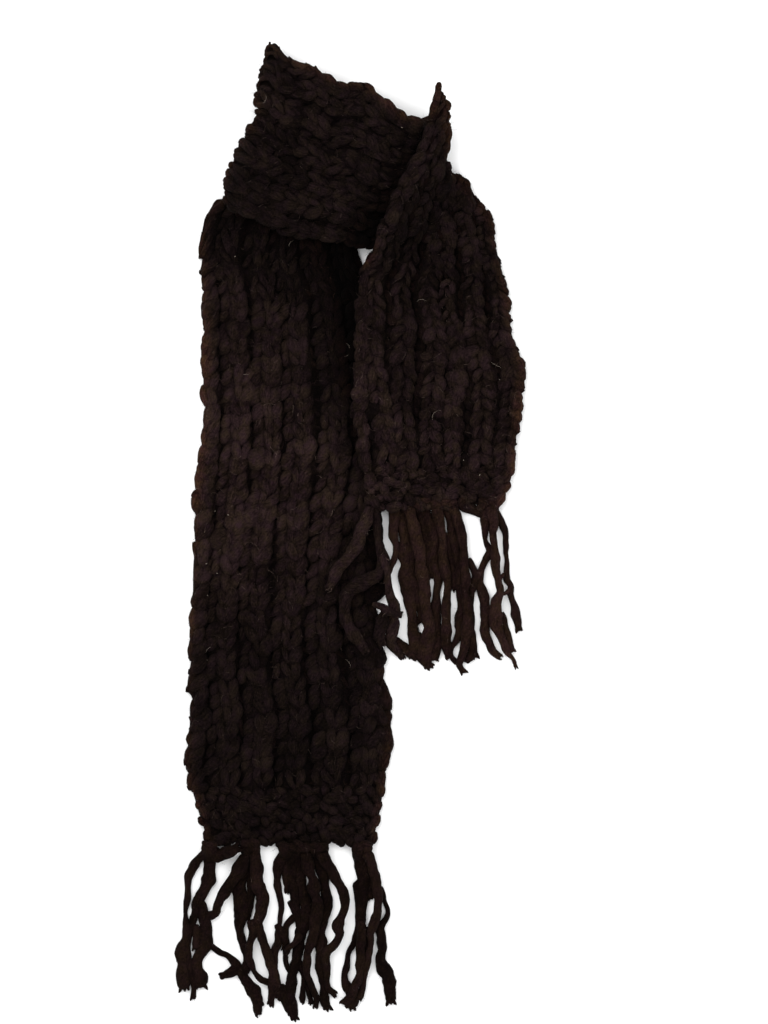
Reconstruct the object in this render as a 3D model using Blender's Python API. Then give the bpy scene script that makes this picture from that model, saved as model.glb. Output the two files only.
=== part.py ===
"""A chunky ribbed wool scarf with a knotted fringe at each end, laid flat on a surface
as if it had been wound once round a neck. Metres, +Z up, long end towards -Y."""
import math
from collections import namedtuple

import bmesh
import bpy
from mathutils import Vector
from mathutils.bvhtree import BVHTree

# Driving dimensions of the knitted cloth
RIB_THICK = 0.0130
VALLEY_THICK = 0.0078
EDGE_THICK = 0.0064
EDGE_ROUND = 0.0030
SIDE_HEIGHT = 0.0034
END_ROUND = 0.0050
RIB_SHARPNESS = 0.6
SECTION_STEP = 0.0115
ACROSS_CELLS = 14
GARTER_RIDGE = 0.0125
GARTER_STEPS = 4

# How the layers lie on each other
SEAM = 0.0004
DRAPE_REACH = 0.0140
DRAPE_RAYS = 16
DRAPE_SMOOTHING = 4
HIGH_ABOVE = 0.5

# The fringe
STRAND_STEP = 0.0085
STRAND_REACH = 0.0050
FLOOR_GAP = 0.0004
LIFT = 0.0071
LIFT_KEPT = 0.88
STRAND_ROOT = 0.0052
TAPER_FROM = 0.75
BAR_RADIUS = 0.0056
BAR_SIDES = 8

WOOL = (0.0098, 0.0064, 0.0060)
WOOL_ROUGHNESS = 0.95

Row = namedtuple("Row", "left_x left_y right_x right_y")
Bend = namedtuple("Bend", "across dx dy")
Pile = namedtuple("Pile", "upper_x upper_y lower_x lower_y height")
Strand = namedtuple("Strand", "lift tip_lift x0 x1 x2 x3 x4 x5 tip_x tip_y width tip_width")
Group = namedtuple("Group", "bar_left bar_right strands")

# Long end: a row for each section, from under the neck band down to the hem
TAIL_LONG_ROWS = [
    Row(-0.113, 0.2800, 0.006, 0.2665),
    Row(-0.124, 0.2640, 0.007, 0.2500),
    Row(-0.128, 0.2390, 0.010, 0.2330),
    Row(-0.126, 0.2000, 0.022, 0.2000),
    Row(-0.125, 0.1550, 0.028, 0.1550),
    Row(-0.126, 0.1100, 0.032, 0.1100),
    Row(-0.128, 0.0650, 0.033, 0.0650),
    Row(-0.133, 0.0200, 0.034, 0.0200),
    Row(-0.136, -0.0250, 0.033, -0.0250),
    Row(-0.137, -0.0700, 0.031, -0.0700),
    Row(-0.139, -0.1150, 0.030, -0.1150),
    Row(-0.138, -0.1600, 0.037, -0.1600),
    Row(-0.139, -0.2050, 0.031, -0.2050),
    Row(-0.130, -0.2350, 0.027, -0.2350),
    Row(-0.122, -0.2700, 0.022, -0.2700),
]
TAIL_LONG_VALLEYS = (0, 0.10, 0.27, 0.44, 0.62, 0.81, 0.95, 1)
TAIL_LONG_BORDER = 0.050

# Neck band: a row for each section from its left turn to its right end, where left is the
# upper selvedge and right is the lower one
BAND_ROWS = [
    Row(-0.0757, 0.4035, -0.1100, 0.2830),
    Row(-0.0660, 0.4178, -0.0970, 0.2690),
    Row(-0.0510, 0.4020, -0.0760, 0.2580),
    Row(-0.0300, 0.3945, -0.0520, 0.2510),
    Row(-0.0090, 0.3805, -0.0300, 0.2470),
    Row(0.0120, 0.3810, -0.0080, 0.2430),
    Row(0.0300, 0.3680, 0.0085, 0.2405),
    Row(0.0460, 0.3510, 0.0215, 0.2440),
    Row(0.0640, 0.3455, 0.0330, 0.2600),
]
BAND_TURN = [
    Bend(0, 0, 0),
    Bend(0.13, 0.0000, 0),
    Bend(0.31, 0.0050, 0),
    Bend(0.48, 0.0105, 0),
    Bend(0.53, 0.0050, 0),
    Bend(0.66, -0.0025, 0),
    Bend(0.84, -0.0030, 0),
    Bend(1, 0, 0),
]
BAND_VALLEYS = (0, 0.11, 0.25, 0.41, 0.58, 0.74, 0.89, 1)

# Short end: a row for each section, from the fold at the neck down to the hem
TAIL_SHORT_ROWS = [
    Row(0.0738, 0.3815, 0.1200, 0.2650),
    Row(0.0640, 0.3320, 0.1250, 0.2500),
    Row(0.0430, 0.2975, 0.1290, 0.2300),
    Row(0.0255, 0.2590, 0.1335, 0.2080),
    Row(0.0130, 0.2280, 0.1370, 0.1880),
    Row(0.0060, 0.1900, 0.1420, 0.1660),
    Row(0.0040, 0.1500, 0.1483, 0.1370),
    Row(0.0060, 0.1080, 0.1440, 0.1060),
    Row(0.0090, 0.0740, 0.1425, 0.0740),
    Row(0.0110, 0.0430, 0.1385, 0.0420),
    Row(0.0130, 0.0170, 0.1265, 0.0170),
]
TAIL_SHORT_TURN = [
    Bend(0, 0, 0),
    Bend(0.15, 0.0015, 0.0025),
    Bend(0.33, -0.0058, 0.0010),
    Bend(0.50, -0.0190, 0.0000),
    Bend(0.63, -0.0215, -0.0050),
    Bend(0.75, -0.0145, 0.0050),
    Bend(0.87, -0.0065, 0.0040),
    Bend(1, 0, 0),
]
TAIL_SHORT_VALLEYS = (0, 0.18, 0.37, 0.53, 0.69, 0.87, 1)
TAIL_SHORT_BORDER = 0.038
TURN_FADE = 0.36

# Hidden layers behind the neck: a row for each section, from left to right
NECK_BACK_ROWS = [
    Pile(-0.0620, 0.3860, -0.0850, 0.2900, 0.010),
    Pile(-0.0570, 0.3930, -0.0790, 0.2767, 0.023),
    Pile(-0.0400, 0.3880, -0.0660, 0.2752, 0.026),
    Pile(-0.0170, 0.3800, -0.0490, 0.2733, 0.026),
    Pile(0.0040, 0.3740, -0.0310, 0.2712, 0.026),
    Pile(0.0250, 0.3620, -0.0130, 0.2692, 0.025),
    Pile(0.0450, 0.3520, 0.0030, 0.2674, 0.019),
    Pile(0.0630, 0.3510, 0.0190, 0.2700, 0.009),
    Pile(0.0685, 0.3520, 0.0360, 0.2800, 0.010),
    Pile(0.0730, 0.3520, 0.0550, 0.2920, 0.015),
    Pile(0.0765, 0.3470, 0.0740, 0.3060, 0.009),
]
LAYER_GROOVE = 0.0035
LAYER_ROUND = 0.0040

# Fringes: the height of each column x0 to x5, and a row for each strand of each group
LONG_LEVELS = (-0.2770, -0.2975, -0.3190, -0.3400, -0.3610, -0.3825)
FRINGE_LONG = [
    Group(-0.1215, -0.0800, [
        Strand(0, 0, -0.1215, -0.1375, -0.1400, -0.1405, -0.1440, -0.1450, -0.1440, -0.3875, 0.0064, 0.0078),
        Strand(1, 0, -0.1190, -0.1215, -0.1325, -0.1350, -0.1375, -0.1375, -0.1360, -0.3990, 0.0066, 0.0060),
        Strand(0, 0, -0.1180, -0.1195, -0.1250, -0.1230, -0.1275, -0.1300, -0.1280, -0.3960, 0.0068, 0.0074),
        Strand(1, 0, -0.0900, -0.1020, -0.1130, -0.1225, -0.1240, -0.1230, -0.1200, -0.3880, 0.0066, 0.0056),
        Strand(2, 0, -0.1160, -0.1190, -0.1225, -0.1200, -0.1090, -0.0900, -0.0850, -0.4050, 0.0048, 0.0060),
        Strand(0, 0, -0.0850, -0.0940, -0.0955, -0.0950, -0.0890, -0.0980, -0.1070, -0.3840, 0.0054, 0.0040),
        Strand(1, 0, -0.0840, -0.0910, -0.0930, -0.0885, -0.0850, -0.0820, -0.0770, -0.4070, 0.0068, 0.0060),
        Strand(1, 1, -0.0805, -0.0830, -0.0850, -0.0800, -0.0725, -0.0680, -0.0690, -0.4010, 0.0066, 0.0058),
        Strand(2, 0, -0.0780, -0.0750, -0.0740, -0.0830, -0.0850, -0.0760, -0.0480, -0.4130, 0.0066, 0.0090),
    ]),
    Group(-0.0545, -0.0215, [
        Strand(0, 0, -0.0545, -0.0620, -0.0610, -0.0600, -0.0640, -0.0635, -0.0600, -0.3940, 0.0060, 0.0080),
        Strand(1, 0, -0.0515, -0.0505, -0.0475, -0.0550, -0.0500, -0.0530, -0.0520, -0.3980, 0.0066, 0.0060),
        Strand(2, 2, -0.0465, -0.0430, -0.0400, -0.0450, -0.0580, -0.0600, -0.0570, -0.3880, 0.0062, 0.0056),
        Strand(0, 0, -0.0440, -0.0420, -0.0350, -0.0390, -0.0430, -0.0430, -0.0400, -0.4010, 0.0064, 0.0056),
        Strand(1, 0, -0.0400, -0.0320, -0.0230, -0.0290, -0.0370, -0.0350, -0.0300, -0.4030, 0.0068, 0.0056),
        Strand(0, 0, -0.0350, -0.0270, -0.0240, -0.0265, -0.0255, -0.0245, -0.0215, -0.4070, 0.0068, 0.0070),
        Strand(2, 2, -0.0290, -0.0190, -0.0175, -0.0200, -0.0230, -0.0225, -0.0200, -0.3930, 0.0058, 0.0054),
        Strand(0, 0, -0.0230, -0.0120, -0.0050, -0.0100, -0.0160, -0.0160, -0.0120, -0.3945, 0.0064, 0.0056),
        Strand(3, 3, -0.0330, -0.0360, -0.0310, -0.0330, -0.0400, -0.0460, -0.0470, -0.3960, 0.0060, 0.0054),
    ]),
    Group(0.0075, 0.0165, [
        Strand(0, 0, 0.0070, 0.0105, 0.0085, 0.0065, -0.0010, -0.0035, -0.0010, -0.4060, 0.0066, 0.0078),
        Strand(1, 1, 0.0100, 0.0150, 0.0160, 0.0140, 0.0080, 0.0060, 0.0045, -0.4030, 0.0062, 0.0060),
        Strand(0, 0, 0.0135, 0.0185, 0.0215, 0.0180, 0.0150, 0.0120, 0.0090, -0.3960, 0.0060, 0.0060),
        Strand(1, 0, 0.0165, 0.0255, 0.0310, 0.0275, 0.0260, 0.0320, 0.0350, -0.4010, 0.0074, 0.0078),
    ]),
]
SHORT_LEVELS = (0.0120, -0.0045, -0.0255, -0.0470, -0.0680, -0.0890)
FRINGE_SHORT = [
    Group(0.0165, 0.0225, [
        Strand(0, 0, 0.0160, 0.0060, -0.0060, -0.0230, -0.0270, -0.0270, -0.0265, -0.0590, 0.0072, 0.0066),
        Strand(1, 0, 0.0215, 0.0250, 0.0290, 0.0060, -0.0065, 0.0010, 0.0140, -0.1050, 0.0074, 0.0070),
        Strand(2, 1, 0.0190, 0.0165, 0.0195, 0.0250, 0.0290, 0.0320, 0.0330, -0.0960, 0.0062, 0.0092),
    ]),
    Group(0.0405, 0.0920, [
        Strand(0, 0, 0.0400, 0.0370, 0.0365, 0.0345, 0.0380, 0.0425, 0.0464, -0.1053, 0.0050, 0.0054),
        Strand(0, 0, 0.0450, 0.0434, 0.0464, 0.0494, 0.0524, 0.0545, 0.0555, -0.1050, 0.0068, 0.0078),
        Strand(0, 0, 0.0500, 0.0584, 0.0626, 0.0638, 0.0615, 0.0635, 0.0656, -0.1125, 0.0078, 0.0096),
        Strand(1, 1, 0.0740, 0.0692, 0.0734, 0.0734, 0.0698, 0.0656, 0.0575, -0.1010, 0.0068, 0.0072),
        Strand(0, 0, 0.0780, 0.0764, 0.0825, 0.0830, 0.0788, 0.0780, 0.0810, -0.1055, 0.0064, 0.0070),
        Strand(2, 1, 0.0820, 0.0840, 0.0790, 0.0775, 0.0750, 0.0725, 0.0735, -0.1120, 0.0060, 0.0076),
        Strand(0, 0, 0.0850, 0.0884, 0.0914, 0.0932, 0.0944, 0.0926, 0.0870, -0.1010, 0.0058, 0.0048),
        Strand(0, 0, 0.0910, 0.0968, 0.1004, 0.1010, 0.1016, 0.0998, 0.0960, -0.1170, 0.0064, 0.0062),
    ]),
    Group(0.1130, 0.1200, [
        Strand(0, 0, 0.1140, 0.1150, 0.1135, 0.1076, 0.1118, 0.1102, 0.1046, -0.1065, 0.0054, 0.0050),
        Strand(1, 1, 0.1175, 0.1200, 0.1235, 0.1250, 0.1190, 0.1180, 0.1250, -0.1060, 0.0064, 0.0060),
        Strand(0, 0, 0.1195, 0.1250, 0.1270, 0.1275, 0.1265, 0.1290, 0.1390, -0.1110, 0.0072, 0.0094),
        Strand(0, 0, 0.1215, 0.1325, 0.1342, 0.1352, 0.1390, 0.1420, 0.1436, -0.0828, 0.0056, 0.0052),
    ]),
]


def clear_scene():
    for obj in list(bpy.data.objects):
        bpy.data.objects.remove(obj, do_unlink=True)


def smooth_table(rows, position):
    """A table read at a fractional row number, along a smooth curve through its rows."""
    last = len(rows) - 1
    position = min(max(position, 0.0), float(last))
    row = min(int(position), last - 1)
    t = position - row
    before, after = rows[max(row - 1, 0)], rows[min(row + 2, last)]
    values = []
    for p0, p1, p2, p3 in zip(before, rows[row], rows[row + 1], after):
        curve = 2 * p1 + (p2 - p0) * t + (2 * p0 - 5 * p1 + 4 * p2 - p3) * t * t
        values.append(0.5 * (curve + (3 * p1 - p0 - 3 * p2 + p3) * t ** 3))
    return type(rows[0])(*values)


def bend_at(bends, across):
    """How far a turned end strays from a straight row, at a share of the way across."""
    for first, second in zip(bends, bends[1:]):
        if across <= second.across:
            t = (across - first.across) / (second.across - first.across)
            return Vector((first.dx + (second.dx - first.dx) * t,
                           first.dy + (second.dy - first.dy) * t))
    return Vector((0, 0))


class Strip:
    """A ribbed strip: selvedges from a table, and a thickness that follows its ribs."""

    def __init__(self, rows, valleys, bends=None, border=0.0):
        self.rows = rows
        self.valleys = valleys
        self.bends = bends
        self.border = border
        self.length = self.distance(0.0, 1.0)

    def plan(self, across, along):
        row = smooth_table(self.rows, along * (len(self.rows) - 1))
        left = Vector((row.left_x, row.left_y))
        point = left.lerp(Vector((row.right_x, row.right_y)), across)
        if self.bends and along < TURN_FADE:
            faded = along / TURN_FADE
            point += bend_at(self.bends, across) * (1 - faded * faded * (3 - 2 * faded))
        return point

    def distance(self, start, end, steps=60):
        """The length of the middle line between two shares of the way along."""
        places = [self.plan(0.5, start + (end - start) * i / steps) for i in range(steps + 1)]
        return sum((b - a).length for a, b in zip(places, places[1:]))

    def thickness(self, across, along):
        for low, high in zip(self.valleys, self.valleys[1:]):
            if across <= high:
                share = (across - low) / (high - low)
                break
        rib = max(math.sin(math.pi * share), 0.0) ** RIB_SHARPNESS
        from_hem = (1 - along) * self.length
        if from_hem < self.border:
            rib = abs(math.sin(math.pi * from_hem / GARTER_RIDGE))
        thick = VALLEY_THICK + (RIB_THICK - VALLEY_THICK) * rib
        to_end = min(along, 1 - along) * self.length
        if to_end < END_ROUND:
            thick += (EDGE_THICK - thick) * (1 - to_end / END_ROUND)
        return thick

    def stations(self):
        """Where the sections go along the strip: closer in the garter border."""
        plain = self.length - self.border
        count = max(2, round(plain / SECTION_STEP))
        places = [plain / self.length * i / count for i in range(count + 1)]
        ridges = round(self.border * GARTER_STEPS / GARTER_RIDGE)
        for i in range(1, ridges + 1):
            places.append((plain + self.border * i / ridges) / self.length)
        round_end = END_ROUND / self.length
        places.insert(1, round_end)
        if not self.border:
            places.insert(-1, 1 - round_end)
        return places

    def heights(self, places, height_under):
        """The underside's height in each cell of the strip, smoothed without sinking."""
        grid = []
        for along in places:
            row = [self.plan(cell / ACROSS_CELLS, along) for cell in range(ACROSS_CELLS + 1)]
            grid.append([height_under(x, y) for x, y in row])
        for _ in range(DRAPE_SMOOTHING):
            before = [list(row) for row in grid]
            for i, row in enumerate(before):
                for j, height in enumerate(row):
                    near = [before[max(i - 1, 0)][j], before[min(i + 1, len(before) - 1)][j]]
                    near += [row[max(j - 1, 0)], row[min(j + 1, ACROSS_CELLS)]]
                    grid[i][j] = max(height, sum(near) / len(near))
        return grid

    def ring(self, along, heights):
        """One closed section: plain underside, rounded selvedges and ribbed top."""
        inset = min(EDGE_ROUND / (self.plan(1, along) - self.plan(0, along)).length, 0.05)

        def point(across, thick):
            x, y = self.plan(across, along)
            cell = min(int(across * ACROSS_CELLS), ACROSS_CELLS - 1)
            share = across * ACROSS_CELLS - cell
            under = heights[cell] * (1 - share) + heights[cell + 1] * share
            return Vector((x, y, under + thick))

        under = [cell / ACROSS_CELLS for cell in range(1, ACROSS_CELLS)]
        over = []
        for low, high in zip(self.valleys, self.valleys[1:]):
            over += [low + (high - low) * share for share in (0, 0.3, 0.7)]
        ring = [point(across, 0) for across in (inset, *under, 1 - inset)]
        ring.append(point(1, SIDE_HEIGHT))
        ring.append(point(1 - inset, EDGE_THICK))
        ring += [point(across, self.thickness(across, along)) for across in reversed(over[1:])]
        ring.append(point(inset, EDGE_THICK))
        ring.append(point(0, SIDE_HEIGHT))
        return ring


class Drape:
    """The height at which a new layer lies over the layers that are already laid."""

    def __init__(self):
        self.trees = []

    def add(self, obj):
        points = [obj.matrix_world @ v.co for v in obj.data.vertices]
        faces = [tuple(p.vertices) for p in obj.data.polygons]
        self.trees.append(BVHTree.FromPolygons(points, faces))

    def top(self, x, y):
        highest = 0.0
        for tree in self.trees:
            place = tree.ray_cast(Vector((x, y, HIGH_ABOVE)), Vector((0, 0, -1)))[0]
            if place is not None:
                highest = max(highest, place.z)
        return highest

    def rest(self, x, y, reach):
        """The highest place within reach, so that a flat facet clears all below it."""
        highest = self.top(x, y)
        for turn in range(DRAPE_RAYS):
            angle = math.tau * turn / DRAPE_RAYS
            for share in (0.3, 0.65, 1.0):
                dx = reach * share * math.cos(angle)
                dy = reach * share * math.sin(angle)
                highest = max(highest, self.top(x + dx, y + dy))
        return highest

    def cloth(self, x, y):
        highest = self.rest(x, y, DRAPE_REACH)
        return highest + SEAM if highest > 0 else 0.0


def wool_material(name):
    material = bpy.data.materials.new(name)
    material.use_nodes = True
    shader = material.node_tree.nodes["Principled BSDF"]
    shader.inputs["Base Color"].default_value = (*WOOL, 1)
    shader.inputs["Roughness"].default_value = WOOL_ROUGHNESS
    shader.inputs["Metallic"].default_value = 0.0
    return material


def add_object(name, mesh, collection, parent):
    """An object with its own material and its origin in the middle of its points."""
    centre = sum((v.co for v in mesh.vertices), Vector()) / len(mesh.vertices)
    for vertex in mesh.vertices:
        vertex.co -= centre
    mesh.materials.clear()
    mesh.materials.append(wool_material(name))
    obj = bpy.data.objects.new(name, mesh)
    collection.objects.link(obj)
    obj.parent = parent
    obj.location = centre
    bpy.context.view_layer.update()
    return obj


def loft(name, rings, collection, parent):
    """A closed solid through rings that have the same number of points."""
    bm = bmesh.new()
    loops = [[bm.verts.new(point) for point in ring] for ring in rings]
    for first, second in zip(loops, loops[1:]):
        for i, vertex in enumerate(first):
            j = (i + 1) % len(first)
            bm.faces.new((vertex, first[j], second[j], second[i]))
    bm.faces.new(loops[0])
    bm.faces.new(loops[-1])
    bmesh.ops.recalc_face_normals(bm, faces=bm.faces)
    mesh = bpy.data.meshes.new(name)
    bm.to_mesh(mesh)
    bm.free()
    return add_object(name, mesh, collection, parent)


def add_strip(name, strip, height_under, collection, parent):
    places = strip.stations()
    grid = strip.heights(places, height_under)
    rings = [strip.ring(along, heights) for along, heights in zip(places, grid)]
    return loft(name, rings, collection, parent)


def add_neck_back(collection, parent):
    """Two layers in one rounded solid, with a groove between them all round."""
    rings = []
    for row in NECK_BACK_ROWS:
        upper = Vector((row.upper_x, row.upper_y))
        lower = Vector((row.lower_x, row.lower_y))
        length = (lower - upper).length
        profile = [
            (LAYER_ROUND, 0),
            (length - LAYER_ROUND, 0),
            (length, row.height * 0.25),
            (length - LAYER_GROOVE, row.height * 0.5),
            (length, row.height * 0.75),
            (length - LAYER_ROUND, row.height),
            (length * 0.5, row.height),
            (LAYER_ROUND, row.height),
            (0, row.height * 0.75),
            (LAYER_GROOVE, row.height * 0.5),
            (0, row.height * 0.25),
        ]
        ring = []
        for reach, height in profile:
            x, y = upper.lerp(lower, reach / length)
            ring.append(Vector((x, y, height)))
        rings.append(ring)
    return loft("neck_back", rings, collection, parent)


def tube(points, radii, sides):
    """A capped tube along points, as a mesh made from a curve."""
    curve = bpy.data.curves.new("tube", "CURVE")
    curve.dimensions = "3D"
    curve.twist_mode = "Z_UP"
    curve.bevel_depth = 1.0
    curve.bevel_resolution = sides // 4 if sides > 4 else 0
    curve.use_fill_caps = True
    spline = curve.splines.new("POLY")
    spline.points.add(len(points) - 1)
    for place, point, radius in zip(spline.points, points, radii):
        place.co = (*point, 1)
        place.radius = radius
    guide = bpy.data.objects.new("tube", curve)
    bpy.context.scene.collection.objects.link(guide)
    graph = bpy.context.evaluated_depsgraph_get()
    mesh = bpy.data.meshes.new_from_object(guide.evaluated_get(graph))
    bpy.data.objects.remove(guide, do_unlink=True)
    bpy.data.curves.remove(curve)
    bm = bmesh.new()
    bm.from_mesh(mesh)
    bmesh.ops.remove_doubles(bm, verts=bm.verts, dist=0.00001)
    bmesh.ops.recalc_face_normals(bm, faces=bm.faces)
    bm.to_mesh(mesh)
    bm.free()
    return mesh


def strand_line(strand, levels, drape):
    """The middle line of one strand, from inside its knot down to its tip."""
    sideways = strand[2:8]
    knots = [(x, y) for x, y in zip(sideways, levels) if y > strand.tip_y + 0.006]
    knots.append((strand.tip_x, strand.tip_y))
    rows = [Bend(0, x, y) for x, y in knots]
    length = sum(math.dist(a, b) for a, b in zip(knots, knots[1:]))
    count = max(6, round(length / STRAND_STEP))
    line, radii = [], []
    for i in range(count + 1):
        share = i / count
        place = smooth_table(rows, share * (len(rows) - 1))
        kept = min(1.0, (1 - share) / (1 - LIFT_KEPT))
        lift = strand.tip_lift + (strand.lift - strand.tip_lift) * kept
        to_tip = max(0.0, share - TAPER_FROM) / (1 - TAPER_FROM)
        radius = (strand.width + (strand.tip_width - strand.width) * to_tip) / 2
        rest = drape.rest(place.dx, place.dy, STRAND_REACH)
        z = rest + FLOOR_GAP + radius + lift * LIFT
        if i == 0:
            z = rest + STRAND_ROOT
        line.append(Vector((place.dx, place.dy, z)))
        radii.append(radius)
    return line, radii


def add_fringe(name, group, levels, hem_y, drape, collection, parent):
    """One knotted group: a rounded bar along the hem with its strands fused into it."""
    root_y = hem_y - SEAM - BAR_RADIUS
    span = group.bar_right - group.bar_left
    count = max(2, round(span / STRAND_STEP))
    bar = []
    for i in range(count + 1):
        x = group.bar_left + span * i / count
        rest = drape.rest(x, root_y, STRAND_REACH)
        bar.append(Vector((x, root_y, rest + FLOOR_GAP + BAR_RADIUS)))
    start = bar[0] - Vector((BAR_RADIUS * 0.7, 0, 0))
    end = bar[-1] + Vector((BAR_RADIUS * 0.7, 0, 0))
    radii = [BAR_RADIUS * 0.6] + [BAR_RADIUS] * len(bar) + [BAR_RADIUS * 0.6]
    backing = add_object(name, tube([start, *bar, end], radii, BAR_SIDES), collection, parent)
    for strand in group.strands:
        line, radii = strand_line(strand, levels, drape)
        cutter = bpy.data.objects.new(f"{name}_strand", tube(line, radii, 4))
        bpy.context.scene.collection.objects.link(cutter)
        union = backing.modifiers.new("strand", "BOOLEAN")
        union.operation = "UNION"
        union.solver = "EXACT"
        union.object = cutter
        graph = bpy.context.evaluated_depsgraph_get()
        joined = bpy.data.meshes.new_from_object(backing.evaluated_get(graph))
        backing.modifiers.clear()
        old = backing.data
        backing.data = joined
        bpy.data.meshes.remove(old)
        bpy.data.objects.remove(cutter, do_unlink=True)
    backing.data.name = name
    return backing


def main():
    clear_scene()
    collection = bpy.data.collections.new("knit_scarf")
    bpy.context.scene.collection.children.link(collection)
    parent = bpy.data.objects.new("scarf", None)
    collection.objects.link(parent)

    drape = Drape()
    tail_long = Strip(TAIL_LONG_ROWS, TAIL_LONG_VALLEYS, border=TAIL_LONG_BORDER)
    drape.add(add_strip("tail_long", tail_long, lambda x, y: 0.0, collection, parent))
    drape.add(add_neck_back(collection, parent))
    band = Strip(BAND_ROWS, BAND_VALLEYS, bends=BAND_TURN)
    drape.add(add_strip("neck_band", band, drape.cloth, collection, parent))
    tail_short = Strip(
        TAIL_SHORT_ROWS, TAIL_SHORT_VALLEYS, bends=TAIL_SHORT_TURN, border=TAIL_SHORT_BORDER
    )
    add_strip("tail_short", tail_short, drape.cloth, collection, parent)

    for number, group in enumerate(FRINGE_LONG, 1):
        hem_y = TAIL_LONG_ROWS[-1].left_y
        name = f"fringe_long_{number}"
        add_fringe(name, group, LONG_LEVELS, hem_y, drape, collection, parent)
    for number, group in enumerate(FRINGE_SHORT, 1):
        hem_y = TAIL_SHORT_ROWS[-1].left_y
        name = f"fringe_short_{number}"
        add_fringe(name, group, SHORT_LEVELS, hem_y, drape, collection, parent)


main()
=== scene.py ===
"""Dresses the laid scarf in its knit: ribbed stitches, seed stitch borders, a roving fringe,
fuzz and lint, on a pale studio floor."""
import math
from collections import namedtuple
from functools import lru_cache

import bpy
import numpy as np
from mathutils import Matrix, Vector
from mathutils.bvhtree import BVHTree


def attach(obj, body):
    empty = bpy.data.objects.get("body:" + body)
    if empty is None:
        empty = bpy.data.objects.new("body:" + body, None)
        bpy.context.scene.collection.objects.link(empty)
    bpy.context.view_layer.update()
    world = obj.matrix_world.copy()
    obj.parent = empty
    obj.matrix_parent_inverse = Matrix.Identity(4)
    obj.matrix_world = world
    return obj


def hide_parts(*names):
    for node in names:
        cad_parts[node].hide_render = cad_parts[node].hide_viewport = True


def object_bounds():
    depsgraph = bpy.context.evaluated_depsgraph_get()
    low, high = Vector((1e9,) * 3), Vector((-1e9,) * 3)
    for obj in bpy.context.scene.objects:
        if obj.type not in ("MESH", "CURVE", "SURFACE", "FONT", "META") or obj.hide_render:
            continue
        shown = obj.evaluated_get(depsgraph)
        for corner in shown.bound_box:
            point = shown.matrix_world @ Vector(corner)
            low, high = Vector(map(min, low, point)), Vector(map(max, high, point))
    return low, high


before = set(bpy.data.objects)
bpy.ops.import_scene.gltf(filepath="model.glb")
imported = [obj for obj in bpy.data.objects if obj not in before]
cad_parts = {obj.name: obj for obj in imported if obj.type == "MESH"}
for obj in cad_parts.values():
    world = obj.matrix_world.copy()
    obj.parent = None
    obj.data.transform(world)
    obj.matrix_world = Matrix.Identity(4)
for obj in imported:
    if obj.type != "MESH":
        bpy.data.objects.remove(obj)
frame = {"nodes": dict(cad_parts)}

bl_info = {
    "name": "Chunky knit scarf",
    "version": (1, 0, 0),
    "blender": (4, 5, 0),
    "location": "3D View > Sidebar > Scarf",
    "description": "Knits the scarf's stitches, fringe and fuzz on its laid solids",
    "category": "Add Mesh",
}

CAD_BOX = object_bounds()

MM = 0.001
TINY = 1e-12
UPRIGHT = (0.0, 0.0, 1.0)
UP = Vector(UPRIGHT)
WHITE = (1.0, 1.0, 1.0)
# Rays that feel for the pile's height start well above it
HIGH_ABOVE = 0.5
# No yarn reaches nearer to the floor than this
FLOOR_GAP = 0.0004
# What each group adds to the seed, so that its random draws are its own
DRAWS = {"tail_long": 0, "neck_band": 1, "tail_short": 2, "neck_back": 20, "fringe": 40, "lint": 60}

# The grid in which a laid strip's surface is measured, with rays that meet its solid from below
GRID_ACROSS = 40
GRID_ALONG = 150
PROBE_INSET = 0.06
PROBE_FOLD = 0.06
PROBE_END = 0.012
PROBE_DEPTH = 0.05
SURFACE_SMOOTHING = 4
ALONG_SAMPLES = 400
TILT_KEPT = 0.45
SINK_DEPTH = 0.0025

# Painted shade, darker where a place lies deep in the pile: a grid of heights, looked at in a few
# directions
RELIEF_STEP = 0.0025
RELIEF_DIRECTIONS = 12
RELIEF_REACHES = (0.004, 0.008, 0.013, 0.019, 0.027)
CREST_ABOVE = 0.012
SHADE_DEPTH = 1.05
SHADE_LEAST = 0.12
# The painted shade between a strip's selvedges moves late from the left one's to the right one's
SHADE_LATE = 3
# Painted glow: the band along the pile's outline where wool is painted brighter, how fast it fades inwards
RIM_DEPTH = 0.0095
RIM_FADE = 1.25
# Painted warmth in crevices, fading out between these two shades, as light that passed through wool would
# be
DEEP_WARMTH = (1.5, 0.98, 0.84)
DEEP_SHADES = (0.05, 0.55)

# The thin cloth under the stitches
CLOTH_LIFT = 0.0004
CLOTH_INSET = 0.0052
CLOTH_BULGE = 0.7
CLOTH_EDGE = 0.0030
CLOTH_VALLEY = 0.0020
CLOTH_CREST = 0.0074
CLOTH_BORDER_RISE = 0.75
CLOTH_START = 0.0060
CLOTH_END = 0.0045
CLOTH_SAMPLES = 6
CLOTH_BELOW = 14

# How the yarn is drawn
YARN_SIDES = 8
YARN_LUMPS = 0.045
YARN_FLATNESS = 0.90
YARN_TWIST = 95.0
LUMPS_EVENED = 1.4
FIBRE_OFFSET = 10
TURN_SAMPLES = 2

# Knit stitches: the girths of a stitch's left and right leg, and the height of its last foot
LEG_GIRTHS = (0.94, 1.08)
LAST_FOOT = 0.4
# A turn belongs to a rib's left leg, its right leg or the purl before it: 0, 1 or 2
LEGS = 3
PURL_LEG = 2
# How much thinner yarn gets where the cloth is drawn together, and where its start gathers
TIGHT_LIMITS = (0.66, 1.05)
TAPER_LEAST = 0.5
# How fast the painted shade deepens from a stitch's crest down to the groove
GROOVE_FADE = 0.7
# Over how many rows a rib drifts, and over how many points the yarn swells
DRIFT_REACH = 4
LUMP_REACH = 7
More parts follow.
